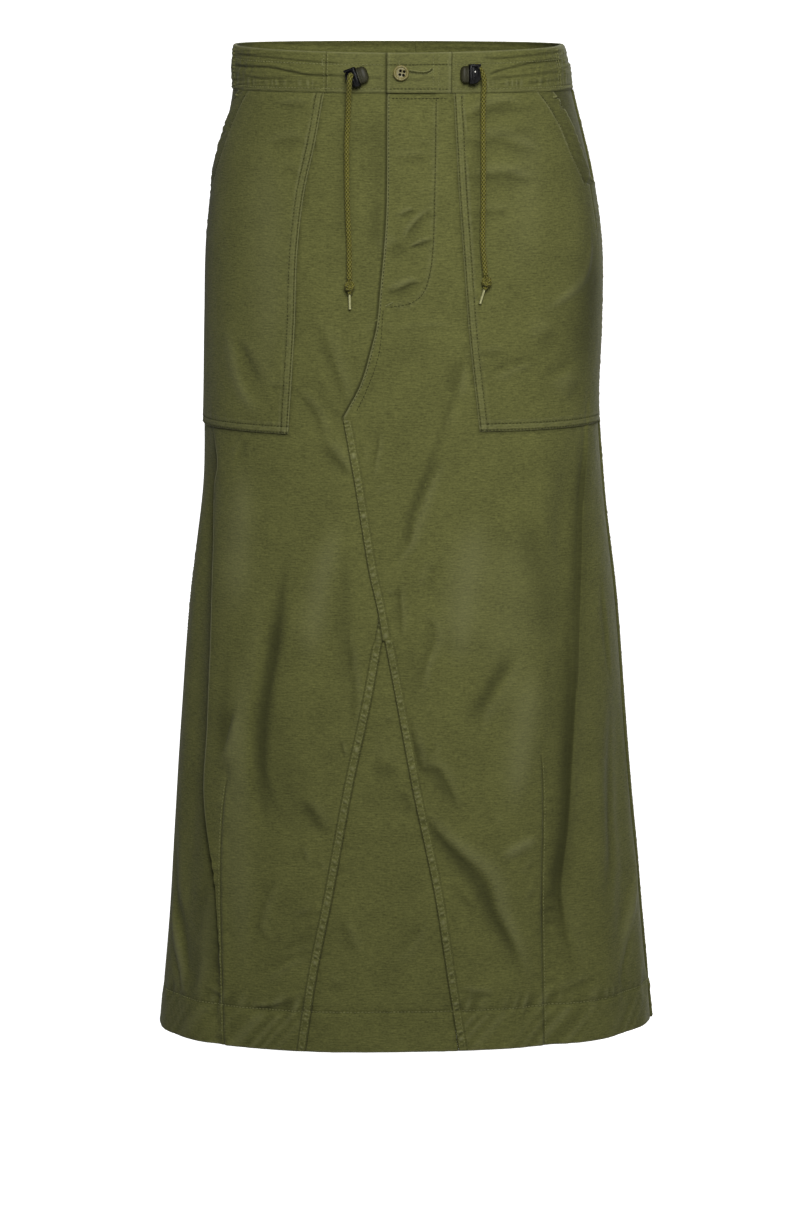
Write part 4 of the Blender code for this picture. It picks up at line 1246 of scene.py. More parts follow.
def band_relief(across, drop):
    """The channel's swell, its stitch lines, its gathers and the band's rolled edges."""
    away = np.abs(across)
    # The band isn't gathered at its flat front ends, and is gathered most at the back.
    pull = ramp(away, 62, 170) * 0.75 + ramp(away, 170, 260) * 0.55
    out = (0.3 + 0.9 * pull) * np.clip(1 - ((drop - 22) / 12.0) ** 2, 0, None)
    out = out + (0.2 + 0.5 * pull) * np.clip(1 - ((drop - 7) / 6.0) ** 2, 0, None)
    for line in BAND_STITCHES:
        out = out - (0.25 + 0.3 * pull) * bell(drop - line, 0.9)
    leaning = across + 0.35 * drop
    folds = 0.5 * ripple(leaning, 9.5, 0.6) + 0.4 * ripple(leaning - 0.8 * drop, 5.7, 2.2)
    out = out + pull * folds * (0.35 + 0.65 * np.cos((drop - 18) / 13) ** 2)
    along = 0.35 * ripple(drop + 0.04 * across + 1.2 * np.sin(across / 23), 5.2, 0.9) * ramp(away, 60, 110)
    out = out + 0.45 * band_puckers(across, drop) + along + 0.14 * ripple(leaning, 13, 1.5)
    out = out + strokes(across, drop, BAND_CREASES, blunt=0.8)
    return out + edge_round(drop, 2.2, 1.0) + edge_round(BAND_DROP - half - drop, 3.0, 0.9)


def band_shade(across, drop):
    """Painted shade along the channel's creases and between its puckers; below 0 it is painted highlight on
    the puckers.
    """
    shade = -0.3 * band_puckers(across, drop)
    for half_width, depth, _, line in BAND_CREASES:
        shade = shade - 0.6 * stroke(across, drop, line, 0.8 * half_width, depth, 0.0, 0.8)
    return shade


BAND_ROWS = spread(0, BAND_DROP - half, 0.95, 0.6, (0, BAND_DROP), 3)


def band(name, low, high, lifted=False, step=1.5):
    """One piece of the waistband. The right front end is lifted over the left one."""
    rows = BAND_ROWS
    low, high = np.broadcast_to(low, rows.shape), np.broadcast_to(high, rows.shape)
    width = float((high - low).mean())
    across = between(low, high, spread(0, width, step, 0.7, (0, width), 5) / width)
    drop = np.broadcast_to(rows[:, None], across.shape)
    edge_gap = np.minimum(across - low[:, None], high[:, None] - across)
    shade = band_shade(across, drop)
    out = BAND_OUTER + band_relief(across, drop) + edge_round(edge_gap, 1.2, 0.3)
    # Painted shade along the edges, the creases and the lower edge; painted highlight along the top edge,
    # near the lower edge, on the puckers, over the front ends and along the lifted end's edges.
    deep = 0.3 * bell(edge_gap, 0.7) + np.clip(shade, 0, 0.6) + 0.1 * bell(drop - BAND_DROP, 1.0)
    highlight = 0.3 * bell(drop, 1.2) + 0.1 * bell(drop - 40, 1.2) - np.clip(shade, -0.3, 0)
    highlight = highlight + 0.06 * (1 - ramp(np.abs(across - 25), 60, 90))
    if lifted:
        out = out + band_lift(across)
        highlight = highlight + 0.15 * bell(edge_gap - 1.6, 1.4)
    else:
        # Painted shadow under the lifted right end's edge.
        deep = deep + 0.75 * bell(across, 1.5)
    # Painted shade along the stitch lines.
    for line in BAND_STITCHES:
        deep = deep + (0.5 if lifted and line < 20 else 0.16) * bell(drop - line - 0.2, 0.8)
    deep, highlight = np.clip(deep, 0, DARKEST), np.clip(highlight, 0, 1)
    made = shell(name, across, drop, out, BAND_THICK - 0.3, [name], highlight, deep)
    return made


bands = [
    band("band_front_left", BAND_JOIN_LEFT + half, UNDERLAP),
    band("band_front_right", 1.0, BAND_JOIN_RIGHT - half, True, 1.2),
    band("band_side_left", -BAND_SIDE_JOIN + half, BAND_JOIN_LEFT - half),
    band("band_side_right", BAND_JOIN_RIGHT + half, BAND_SIDE_JOIN - half),
    band("band_back_left", back_seam(BAND_ROWS, -1) + half, -BAND_SIDE_JOIN - half, False, 1.9),
    band("band_back_right", BAND_SIDE_JOIN + half, back_seam(BAND_ROWS, 1) - half, False, 1.9),
]
print("band faces:", sum(len(part.data.polygons) for part in bands))

# %% [markdown]
# ## Stitches
# A lockstitch shows as a row of short beads, each about 3 mm long, sunk at both ends where the thread
# goes through the cloth. Every row follows a line on the form and sits on the relief of the piece that it
# holds. The rows of a family are joined into one mesh, which is lighter than thousands of objects.

# %% Stitch rows
STITCH_PITCH, STITCH_LENGTH, THREAD_RADIUS, STITCH_RING = 3.4, 2.7, 0.42, 5
# A stitch from end to end: the share of its length, how far out, and the share of its radius.
STITCH_PROFILE = (
    (-0.5, -0.35, 0.45), (-0.3, 0.12, 1.0), (0.0, 0.2, 1.1), (0.3, 0.12, 1.0), (0.5, -0.35, 0.45),
)


def square_to(direction):
    """Directions on the cloth, each turned a quarter."""
    return np.stack([-direction[:, 1], direction[:, 0]], axis=1)


def walk(points, spacing):
    """Even places along a line of (drop, across), and the direction there."""
    line = curve_through(points, 12) if len(points) < 40 else np.array(points, float)
    gone = gone_along(line)
    at = np.arange(spacing / 2, gone[-1] - spacing / 2, spacing)
    middle, ahead = (
        np.stack([np.interp(at + step, gone, line[:, k]) for k in (0, 1)], axis=-1) for step in (0, 0.5)
    )
    return middle, unit(ahead - middle)


def grid_faces(tall, ring):
    """The side faces of rings laid one after another, and a cap at each end."""
    index = np.arange(tall * ring).reshape(tall, ring)
    after = np.roll(index, -1, axis=1)
    sides = np.stack([part.ravel() for part in (index[:-1], after[:-1], after[1:], index[1:])], axis=1)
    return sides, index[0][::-1], index[-1]


def spokes(first, second, turns):
    """Directions round an axis: from each first one through each second one."""
    return first[:, None] * np.cos(turns)[None, :, None] + second[:, None] * np.sin(turns)[None, :, None]


def stitches(name, lines, pitch=STITCH_PITCH, length=STITCH_LENGTH, radius=THREAD_RADIUS, thread=THREAD):
    """One mesh of stitches. Each line is its points as (drop, across) and a function for how far out.
    A line with a third entry has its stitches square to it."""
    turns = 2 * math.pi * np.arange(STITCH_RING) / STITCH_RING
    points = []
    for line, height, *square in lines:
        middle, direction = walk(line, pitch)
        direction = square_to(direction) if square else direction
        rings = []
        for share, rise, girth in STITCH_PROFILE:
            place = middle + direction * share * length
            aside = place + square_to(direction)
            out = height(place[:, 1], place[:, 0]) + rise
            here = cloth_point(place[:, 1], place[:, 0], out)
            above = unit(cloth_point(place[:, 1], place[:, 0], out + 1.0) - here)
            beside = unit(cloth_point(aside[:, 1], aside[:, 0], out) - here)
            rings.append(here[:, None] + radius * girth * MM * spokes(beside, above, turns))
        points.append(np.stack(rings, axis=1))
    points = np.concatenate(points)
    sides, *ends = grid_faces(len(STITCH_PROFILE), STITCH_RING)
    starts = np.arange(len(points))[:, None] * len(STITCH_PROFILE) * STITCH_RING
    faces = (sides[None] + starts[:, None]).reshape(-1, 4)
    caps = np.concatenate([end[None] + starts for end in ends])
    flat = points.reshape(-1, 3)
    mesh = new_mesh(name, flat, [faces, caps], flat[:, (0, 2)])
    return place_piece(name, mesh, thread), len(points)


def down(table, offset, low, high, step=10.0):
    """A line of (drop, across) beside a table's line."""
    places = np.arange(low, high + step / 2, step)
    return np.stack([places, smooth(table, places) + offset], axis=1)


def around(drop, low, high, step=10.0):
    """A line of (drop, across) at one drop."""
    places = np.arange(low, high + step / 2, step)
    return np.stack([np.full(places.shape, float(drop)), places], axis=1)


# How far out a thread lies on the body, on the right front and on the band, as functions of its place.


def on_body(extra):
    return lambda across, drop: relief(across, drop) + extra


def on_right(extra):
    return lambda across, drop: relief(across, drop) + fly_lift(across, drop) + extra


def on_band(lifted, extra=0.0):
    def height(across, drop):
        return BAND_OUTER + band_relief(across, drop) + (band_lift(across) if lifted else 0.0) + extra

    return height


pocket_rows = []
for side, height in ((-1, on_body(POCKET_OUT - 0.25)), (1, on_right(POCKET_OUT - 0.25))):
    inner = POCKET_INNER_LEFT if side < 0 else POCKET_INNER_RIGHT
    for inset in (STITCH_NEAR, STITCH_FAR):
        foot = POCKET_FOOT[side] - inset
        pocket_rows.append((down(inner, side * inset, TOP_ROW + 2, foot), height))
        low = float(smooth(inner, foot)) + side * inset
        pocket_rows.append((around(foot, *sorted((low, side * (abs(low) + 148)))), height))
    places = np.arange(46.0, OPENING_END + 6, 6.0)
    for inset in (2.0, OPENING_HEM):
        edge = opening_line(places, side) - side * inset
        pocket_rows.append((np.stack([places, edge], axis=1), height))
# The pocket's rows take the dark thread, as painted shade along them.
pocket_stitches, count = stitches("stitches_pockets", pocket_rows, thread=THREAD_IN_SHADE)
print("pocket stitches:", count)

# %% [markdown]
# The seam rows run beside the ditches, the fly has its curved J, and the hem has one row all round.

# %% Seam, fly and hem stitches
seam_rows = []
for table, side, low, high in (
    (CENTRE_SEAM, 1, NOTCH_DROP + 2, APEX_DROP - 2),
    (GODET_LEFT, -1, APEX_DROP + 4, HEM_DROP - 1),
    (GODET_RIGHT, 1, APEX_DROP, HEM_DROP - 1),
):
    seam_rows += [(down(table, side * inset, low, high), on_body(0.75)) for inset in (1.5, 6.5)]
places = np.arange(TOP_ROW + 2, HEM_DROP - 1, 10.0)
for _, ditch, side, _ in HIDDEN_SEAMS:
    for inset in (1.5, 6.0):
        seam_rows.append((np.stack([places, ditch(places) + side * inset], axis=1), on_body(0.75)))
for table, side in ((DART_LEFT, -1), (DART_RIGHT, 1)):
    seam_rows.append((down(table, side * 1.6, table[0][0] + 6, HEM_DROP - 1), on_body(-0.1)))
seam_stitches, count = stitches("stitches_seams", seam_rows)
fly_rows = [
    (FLY_CURVE, on_right(0.0)),
    (down(FLY_EDGE, 1.8, 44, NOTCH_DROP - 3), on_right(-0.15)),
    (((240, -1), (279, -4.5), (311, -15), (337, -27)), on_right(0.0)),
    (around(46.7, 5.0, 58.0, 6.0), on_right(0.1)),
]
# The fly's rows take the dark thread, as painted shade along them.
fly_stitches, fly_count = stitches("stitches_fly", fly_rows, thread=THREAD_IN_SHADE)
hem_ends = [float(back_seam(HEM_STITCH, side)) - side for side in (-1, 1)]
hem_stitches, hem_count = stitches("stitches_hem", [(around(HEM_STITCH, *hem_ends), on_body(0.1))])
print("seam, fly and hem stitches:", count, fly_count, hem_count)

# %% Waistband stitches
band_rows, end_rows = [], []
for line in BAND_STITCHES:
    left_end, right_end = (float(back_seam(line, side)) - side for side in (-1, 1))
    band_rows.append((around(line, left_end, 0.0, 4.0), on_band(False)))
    band_rows.append((around(line, BAND_JOIN_RIGHT, right_end, 4.0), on_band(False)))
    end_rows.append((around(line, 3.0, BAND_JOIN_RIGHT, 4.0), on_band(True)))
# The band end's rows take the dark thread, as painted shade along them.
stitches("stitches_band_end", end_rows, thread=THREAD_IN_SHADE)
upright_rows = [(BAND_JOIN_LEFT - 1.8, False), (BAND_JOIN_LEFT + 1.8, False), (BAND_JOIN_RIGHT + 1.8, False)]
upright_rows += [(across, True) for across in (43.0, 48.0, 3.0)]
upright_rows += [(side * BAND_SIDE_JOIN + inset, False) for side in (-1, 1) for inset in (-1.8, 1.8)]
for across, lifted in upright_rows:
    band_rows.append(([(drop, across) for drop in (2, 21, 40.5)], on_band(lifted)))
_, count = stitches("stitches_band", band_rows)
print("band stitches:", count)

# %% [markdown]
# ## Satin stitches: the buttonhole and the bar tacks
# A buttonhole is worked with satin stitches, close together and square to the slit, so that its edge
# can't fray. Here it ends in an eye that curls up a little. Bar tacks are the same stitch in a short bar,
# and hold the places that a hand or a belt would tear: the pocket openings, the fly's foot and the band.

# %% Satin stitches
BUTTONHOLE = ((19.3, 21.5), (20.6, 27), (21.2, 33), (20.6, 38), (18.6, 41), (16.2, 42))


def satin(name, bars, pitch=0.55, length=1.8):
    """Close stitches square to each line of (drop, across)."""
    return stitches(name, [(line, height, "square") for line, height in bars], pitch, length, 0.36)[0]


def moved_aside(line, step):
    """The same line moved sideways by a step in millimetres."""
    line = curve_through(line, 6)
    return line + step * square_to(unit(np.gradient(line, axis=0)))


edges = [(moved_aside(BUTTONHOLE, step), on_band(True, 0.1)) for step in (-1.15, 1.15)]
buttonhole = satin("buttonhole", edges)
# The slit is a row of long dark stitches along the buttonhole, as painted shade in the cut.
slit = stitches("buttonhole_slit_shade", [(BUTTONHOLE, on_band(True, 0.15))], 1.6, 2.2, 1.0, THREAD_IN_SHADE)[0]
tacks = []
for side, height in ((-1, on_body(POCKET_OUT)), (1, on_right(POCKET_OUT))):
    for drop in (47.0, OPENING_END - 4):
        edge = float(opening_line(np.array([drop]), side)[0])
        tacks.append((((drop, edge - side * 1.5), (drop + 0.5, edge - side * 8.5)), height))
tacks.append((((233, 8), (237, 1)), on_right(0.1)))
for across, lifted in ((12.0, True), (56.5, True), (-60.5, False)):
    tacks.append((((8, across), (15, across)), on_band(lifted)))
bar_tacks = satin("bar_tacks", tacks, 0.6, 1.9)
print("satin pieces:", buttonhole.name, slit.name, bar_tacks.name)

# %% [markdown]
# ## Turned, swept and lofted pieces
# The hard pieces come from three tools, as they would in a workshop. A profile turned round an axis
# gives the button and the metal tips. A ring swept along a line gives the cords and knots. Sections laid
# one after another along an axis give the moulded locks. Holes are cut out of them afterwards.

# %% Tools for the fittings


def frame_at(across, drop, out, turn=0.0):
    """A placement on the cloth: X runs across, Y runs up and Z points out. turn is in degrees about Z."""
    here = Vector(cloth_point(across, drop, out))
    outwards = (Vector(cloth_point(across, drop, out + 1.0)) - here).normalized()
    across_axis = Vector((0, 0, 1)).cross(outwards).normalized()
    up_axis = outwards.cross(across_axis)
    rotation = Matrix((across_axis, up_axis, outwards)).transposed().to_4x4()
    return Matrix.Translation(here) @ rotation @ Matrix.Rotation(math.radians(turn), 4, "Z")


def aimed(start, direction):
    """A placement at a point whose Z runs along a direction."""
    return Matrix.Translation(start) @ direction.to_track_quat("Z", "Y").to_matrix().to_4x4()


def closed(name, rings, marks=None, uv=None):
    """A closed mesh from an array of rings, in metres, with its two ends capped."""
    sides, *ends = grid_faces(*rings.shape[:2])
    points = rings.reshape(-1, 3)
    where = points[:, (0, 2)] if uv is None else uv.reshape(-1, 2)
    mesh = new_mesh(name, points, [sides, np.array(ends)], where)
    for label, values in (marks or {}).items():
        mark(mesh, label, values)
    return mesh


def turn_profile(name, profile, placement, segments=64):
    """A profile of (radius, height) in millimetres, turned round Z and placed."""
    radius, height = (np.array([row[k] for row in profile], float)[:, None] for k in (0, 1))
    turns = 2 * math.pi * np.arange(segments) / segments
    rings = np.stack([radius * np.cos(turns), radius * np.sin(turns), height + 0 * turns], axis=-1)
    mesh = closed(name, rings * MM)
    mesh.transform(placement)
    return mesh


def loft(name, rows, placement, segments=56):
    """Rounded sections along X, each (x, half height, half depth, squareness), placed."""
    turns = 2 * math.pi * (np.arange(segments) + 0.5) / segments
    rings = []
    for x, tall, deep, power in rows:
        radius = (np.abs(np.cos(turns)) ** power + np.abs(np.sin(turns)) ** power) ** (-1 / power)
        high, out = tall * radius * np.cos(turns), deep * radius * np.sin(turns)
        rings.append(np.stack([0 * turns + x, high, out], axis=-1))
    mesh = closed(name, np.array(rings) * MM)
    mesh.transform(placement)
    return mesh


def even_path(points, spacing):
    """Points a spacing in millimetres apart, on a smooth curve through points in metres."""
    line = curve_through(points, 24)
    gone = gone_along(line)
    wanted = np.linspace(0, gone[-1], max(2, round(gone[-1] / (spacing * MM))) + 1)
    return np.stack([np.interp(wanted, gone, line[:, k]) for k in range(3)], axis=1)


def sweep(path, ring, radius):
    """Rings round a path, carried along without a twist. radius(angle, gone) is in millimetres."""
    direction = unit(np.gradient(path, axis=0))
    gone = gone_along(path) / MM
    axis = np.cross(direction[0], (0.31, 0.77, 0.55))
    sideways = []
    for along in direction:
        axis = unit(axis - along * (axis @ along))
        sideways.append(axis)
    sideways = np.array(sideways)
    turns = 2 * math.pi * np.arange(ring) / ring
    reach = radius(turns[None, :], gone[:, None]) * MM
    ways = spokes(sideways, np.cross(direction, sideways), turns)
    return path[:, None] + ways * reach[..., None], turns, gone


def joined(name, meshes):
    """Several meshes as one."""
    points, corners = [], []
    for mesh in meshes:
        corners += [[len(points) + k for k in face.vertices] for face in mesh.polygons]
        points += [tuple(vertex.co) for vertex in mesh.vertices]
    made = bpy.data.meshes.new(name)
    made.from_pydata(points, [], corners)
    made.shade_smooth()
    return made


def cut(target, cutters):
    """Cuts closed meshes out of a piece."""
    for cutter_mesh in cutters:
        cutter = bpy.data.objects.new("cutter", cutter_mesh)
        bpy.context.scene.collection.objects.link(cutter)
        step = target.modifiers.new("cut", "BOOLEAN")
        step.object, step.operation, step.solver = cutter, "DIFFERENCE", "EXACT"
        result = target.evaluated_get(bpy.context.evaluated_depsgraph_get())
        mesh = bpy.data.meshes.new_from_object(result)
        target.modifiers.clear()
        target.data = mesh
        bpy.data.objects.remove(cutter)


def crisp(piece, degrees=32):
    """Smooth faces, with an edge kept wherever the form turns more than this."""
    piece.data.shade_smooth()
    piece.data.set_sharp_from_angle(angle=math.radians(degrees))


def post(name, x, y, radius, low, high, placement, segments=24):
    """A round post along Z between two heights."""
    profile = ((radius - 0.06, low), (radius, low + 0.08), (radius, high - 0.08), (radius - 0.06, high))
    return turn_profile(name, profile, placement @ Matrix.Translation(Vector((x, y, 0)) * MM), segments)


print("tools: turn, loft, sweep, join, cut and post")

# %% [markdown]
# ## Materials of the fittings
# The button is cast polyester resin that imitates horn: pale, dense, with faint streaks and a soft
# polish. The locks are moulded from black acetal, which is smooth and a little glossy, with an olive
# plunger in a matt grade. The tips are thin brass sheet, tarnished to a pale olive.

# %% Materials of the button, the locks and the tips


def speckled(name, base_hex, other_hex, grain, streak, settings, bump=0.0):
    """A material of two colours, mixed by noise whose size is grain, longer by streak along Z."""
    made, tree, shader = new_material(name)
    place = add(tree, "TexCoord").outputs["Object"]
    scale = 1 / (grain * MM)
    moved = add(tree, "Mapping", {"Scale": (scale, scale, scale / streak)}, {0: place})
    settings_of_noise = {"Scale": 1.0, "Detail": 4.0, "Roughness": 0.6}
    noise = add(tree, "TexNoise", settings_of_noise, {"Vector": moved.outputs[0]})
    share = add(tree, "MapRange", {"From Min": 0.35, "From Max": 0.65}, {"Value": noise.outputs[0]})
    colours = {"data_type": "RGBA", 6: linear(base_hex), 7: linear(other_hex)}
    mixed = add(tree, "Mix", colours, {0: share.outputs[0]})
    tree.links.new(mixed.outputs[2], shader.inputs["Base Color"])
    set_inputs(shader, settings)
    if bump:
        raised = add(tree, "Bump", {"Strength": bump, "Distance": 0.1 * MM}, {"Height": noise.outputs[0]})
        tree.links.new(raised.outputs[0], shader.inputs["Normal"])
    return made


# Polyester resin has an index of refraction of 1.56. Tumbled and then washed, its roughness is about 0.4.
resin = {"Roughness": 0.42, "IOR": 1.56, "Specular IOR Level": 0.3}
RESIN = speckled("horn_look_resin", "#756D3A", "#5E5629", 1.1, 5.0, resin)
# Acetal has an index of 1.48. A moulded face is smooth but not polished, and the plunger's grade is matt.
glossy = {"Roughness": 0.32, "IOR": 1.48, "Specular IOR Level": 0.14}
matt = {"Roughness": 0.5, "IOR": 1.48, "Specular IOR Level": 0.25}
ACETAL = speckled("black_acetal", "#050506", "#08080A", 0.5, 1.0, glossy, 0.12)
PLUNGER = speckled("olive_acetal", "#222112", "#2C2B18", 0.5, 1.0, matt, 0.15)
# Brass sheet under a film of tarnish is duller than clean brass, whose roughness is nearer 0.2.
BRASS = speckled("tarnished_brass", "#A7A67A", "#8C8B62", 0.8, 4.0, {"Roughness": 0.4, "Metallic": 0.65})
# Nickelled steel keeps a brighter skin. It makes the pin head that stands on a lock as a painted glint.
STEEL = speckled("nickelled_steel", "#D8D6CE", "#C4C2BA", 0.8, 1.0, {"Roughness": 0.3, "Metallic": 0.7})
print("fitting materials:", RESIN.name, ACETAL.name, PLUNGER.name, BRASS.name)

# %% [markdown]
# ## Button
# The button is turned: a raised rim, a dished middle and four drilled holes. A sewing machine ties it on
# with a short shank of thread, coloured near black as painted shade in the bottoms of the holes.

# %% Button
BUTTON_AT = (14.0, 21.3)
BUTTON_SEAT = BAND_OUTER + BAND_THICK + GAP + GAP
button_frame = frame_at(*BUTTON_AT, BUTTON_SEAT + 0.75, 0.0) @ Matrix.Rotation(math.radians(6), 4, "Y")
button_frame = button_frame @ Matrix.Rotation(math.radians(-10), 4, "Z")
# Radius and height of the button's outline, from the middle of its back to the middle of its dish.
button_profile = (
    (0.6, 0.05), (4.6, 0.05), (5.9, 0.2), (6.7, 0.6), (7.05, 1.05), (7.25, 1.6), (7.15, 2.2),
    (6.85, 2.65), (6.5, 2.9), (6.05, 3.0), (5.6, 2.92), (5.3, 2.7), (5.05, 2.35), (4.8, 2.12),
    (4.5, 2.05), (4.2, 2.14), (3.9, 2.16), (2.6, 2.02), (1.3, 1.94), (0.3, 1.92),
)
button_mesh = turn_profile("button", button_profile, button_frame)
button = place_piece("button", button_mesh, RESIN, ["button"])
# The four holes lie on a circle whose middle is a little beside the button's own.
HOLE_CIRCLE, HOLE_SHIFT = 2.432424, 0.9
hole_turns = [math.radians(45 + 90 * k) for k in range(4)]
HOLES = [(HOLE_CIRCLE * math.cos(turn), HOLE_CIRCLE * math.sin(turn)) for turn in hole_turns]
cut(button, [post("hole", x + HOLE_SHIFT, y, 1.38, -2.0, 5.0, button_frame) for x, y in HOLES])
crisp(button)
shank = post("shank", HOLE_SHIFT, 0, 3.5, -1.9, 0.02, button_frame)
# Near black thread: painted shade in the holes.
HOLE_SHADE_THREAD = cloth_material("polycotton_thread_painted_hole_shade", "#17180C", 0.2)
place_piece("button_thread", joined("button_thread", [shank]), HOLE_SHADE_THREAD)
print("button faces:", len(button.data.polygons))

# %% [markdown]
# ## Cord locks
# Each lock is a spring lock in two parts. The moulded body has the cord's hole with a raised collar, a
# bar along its top and a rib beside the plunger. The plunger's rounded head is squeezed in to free the
# cord. The left lock lies tilted with its hole facing out. The right one lies flat, and its cord leaves
# from the side.

# %% Cord locks
LOCK_HEIGHT, LOCK_DEPTH = 19.0, 11.0
LOCK_SEAT = BAND_OUTER + GAP + 0.3
CORD_RADIUS = 2.5
# The cords' routes, as (across, drop, out).
CORD_LEFT = (
    (-30.2, 25, 5), (-30.2, 25, 14), (-30.4, 28, 16.6), (-30.9, 35, 16.2), (-32.6, 49, 11), (-34.2, 66, 6),
    (-35.4, 92, 3.6), (-34.6, 140, 3), (-32.7, 180, 3.2), (-31.8, 209, 5),
)
CORD_RIGHT = (
    (79.5, 13.6, 8.0), (83.4, 17.2, 8.6), (86.2, 21.8, 8.8), (88.2, 28.5, 8.2), (88.8, 36, 7.2),
    (88.4, 45, 6.4), (88.6, 66, 5.2), (89.2, 92, 4.6), (90, 140, 4.6), (89.8, 178, 4.7), (91.4, 204, 6.4),
)


def lock_bar(x0, x1, y0, y1, z0, z1, placement):
    """A moulded bar with rounded edges between these places of the lock."""
    share = ((0.0, 0.78), (0.06, 0.92), (0.16, 1.0), (0.84, 1.0), (0.94, 0.92), (1.0, 0.78))
    rows = [(x0 + (x1 - x0) * s, (y1 - y0) / 2 * w, (z1 - z0) / 2 * w, 5.0) for s, w in share]
    centre = Matrix.Translation(Vector((0, (y0 + y1) / 2, (z0 + z1) / 2)) * MM)
    return loft("bar", rows, placement @ centre, 32)


def lock(side, across, drop, turn, inwards, lengths, hole, hole_place, trim):
    """hole is a placement whose Z runs along the cord's hole. hole_place is where its collar sits on it."""
    body_length, plunger_length = lengths
    middle = LOCK_SEAT + LOCK_DEPTH / 2
    placement = frame_at(across, drop, middle, turn) @ Matrix.Diagonal((-inwards, 1.0, 1.0, 1.0))
    tall, deep, end = LOCK_HEIGHT / 2, LOCK_DEPTH / 2, body_length - trim
    groove = 0.42 * end
    rows = [
        (0.15, tall - 0.9, deep - 0.8, 2.7), (0.5, tall - 0.3, deep - 0.3, 2.9),
        (1.1, tall - 0.05, deep - 0.1, 3.0), (2.6, tall, deep, 3.1), (groove, tall, deep, 3.1),
        (groove + 0.2, tall - 0.3, deep - 0.3, 3.1), (groove + 0.5, tall - 0.4, deep - 0.3, 3.1),
        (groove + 0.7, tall - 0.2, deep, 3.1), (0.7 * end, tall - 1.1, deep, 2.8),
        (end - 1.8, tall - 2.4, deep - 0.1, 2.6), (end - 0.9, tall - 3.0, deep - 0.5, 2.6),
        (end - 0.3, tall - 3.7, deep - 1.1, 2.4), (end - 0.02, tall - 4.8, deep - 1.9, 2.2),
    ]
    name = "lock_body_" + side
    body = place_piece(name, loft(name, rows, placement), ACETAL, [name])
    cut(body, [post("bore", 0, 0, CORD_RADIUS + 0.45, -14.0, 14.0, hole, 32)])
    crisp(body)

    # The collar's profile is (radius past the cord's, height).
    profile = ((0.5, -0.9), (0.5, 0.35), (0.75, 0.6), (1.15, 0.6), (1.45, 0.3), (1.5, -0.9))
    profile = [(CORD_RADIUS + past, height) for past, height in profile]
    ribs = [
        lock_bar(0.7, 2.9, -tall + 2.4, tall - 0.6, deep - 1.4, deep + 0.7, placement),
        lock_bar(0.7, end - 0.6, tall - 2.9, tall - 0.5, deep - 2.6, deep + 0.45, placement),
        lock_bar(3.9, 4.9, -tall + 3.6, -tall + 8.4, deep - 1.2, deep + 0.3, placement),
        turn_profile("collar", profile, hole @ Matrix.Translation((0, 0, hole_place * MM)), 40),
    ]
    name = "lock_ribs_" + side
    details = place_piece(name, joined(name, ribs), ACETAL)
    crisp(details, 40)

    # The plunger has three grooves behind its rounded head.
    head = [(-0.15, tall - 2.0, deep - 1.2, 2.6), (-0.5, tall - 1.6, deep - 0.9, 2.6)]
    for start in (-0.9, -1.85, -2.8):
        head += [(start, tall - 1.6, deep - 0.9, 2.6), (start - 0.3, tall - 1.95, deep - 1.2, 2.6)]
        head += [(start - 0.6, tall - 1.95, deep - 1.2, 2.6)]
    for share in (0.55, 0.68, 0.8, 0.9, 0.97, 1.0):
        bend = math.sqrt(max(0.0, 1 - ((share - 0.45) / 0.57) ** 2))
        half_height, half_depth = (tall - 1.7) * (0.35 + 0.65 * bend), (deep - 0.9) * (0.3 + 0.7 * bend)
        head.append((-plunger_length * share, half_height, half_depth, 2.5))
    name = "lock_plunger_" + side
    plunger_mesh = loft(name, sorted(head, reverse=True), placement)
    plunger = place_piece(name, plunger_mesh, PLUNGER, [name])
    crisp(plunger, 50)
    return body, details, plunger


def glint_pin_head(across, drop, out):
    """A small bright steel pin head on the lock that lies flat, put there as a painted glint."""
    dome = ((0.75, -0.6), (0.8, 0.0), (0.66, 0.3), (0.4, 0.48), (0.08, 0.55))
    mesh = turn_profile("lock_glint_pin", dome, frame_at(across, drop, out), 24)
    made = place_piece("lock_glint_pin", mesh, STEEL)
    crisp(made, 60)


left_hole = frame_at(*CORD_LEFT[1][:2], 12.0)
first, second = (Vector(cloth_point(*CORD_RIGHT[k])) for k in (0, 1))
right_hole = aimed(first, (second - first).normalized())
lock_left = lock("left", -24.8, 25.2, 20.0, 1, (13.5, 9.0), left_hole, 0.6, 2.2)
lock_right = lock("right", 74.3, 23.6, 0.0, -1, (10.8, 7.2), right_hole, 4.6, 0.0)
glint_pin_head(79.2, 21.5, LOCK_SEAT + LOCK_DEPTH)
print("lock faces:", [len(part.data.polygons) for part in lock_left + lock_right])

# %% [markdown]
# ## Drawcords
# Each drawcord is a round braid of 16 strands, 5 mm thick, dyed to match the cloth but a little yellower.
# The strands cross as they wind, so the surface is a chequer of small bumps, with painted highlight on
# their tops and painted shade between them. Each cord leaves its lock, hangs to an overhand knot, and ends in
# a crimped metal tip.

# %% Cord material and braid
BRAID_ROUND, BRAID_PITCH, BRAID_HEIGHT = 5, 3.9, 0.28
CORD_MATERIAL = cloth_material("braided_cotton_cord", "#605C1F", 0.15)


def braid_bumps(angle, gone):
    """The bumps where a braid's strands cross, in a chequer, from 1 to -1."""
    return np.cos(BRAID_ROUND * angle) * np.cos(2 * math.pi * gone / BRAID_PITCH)


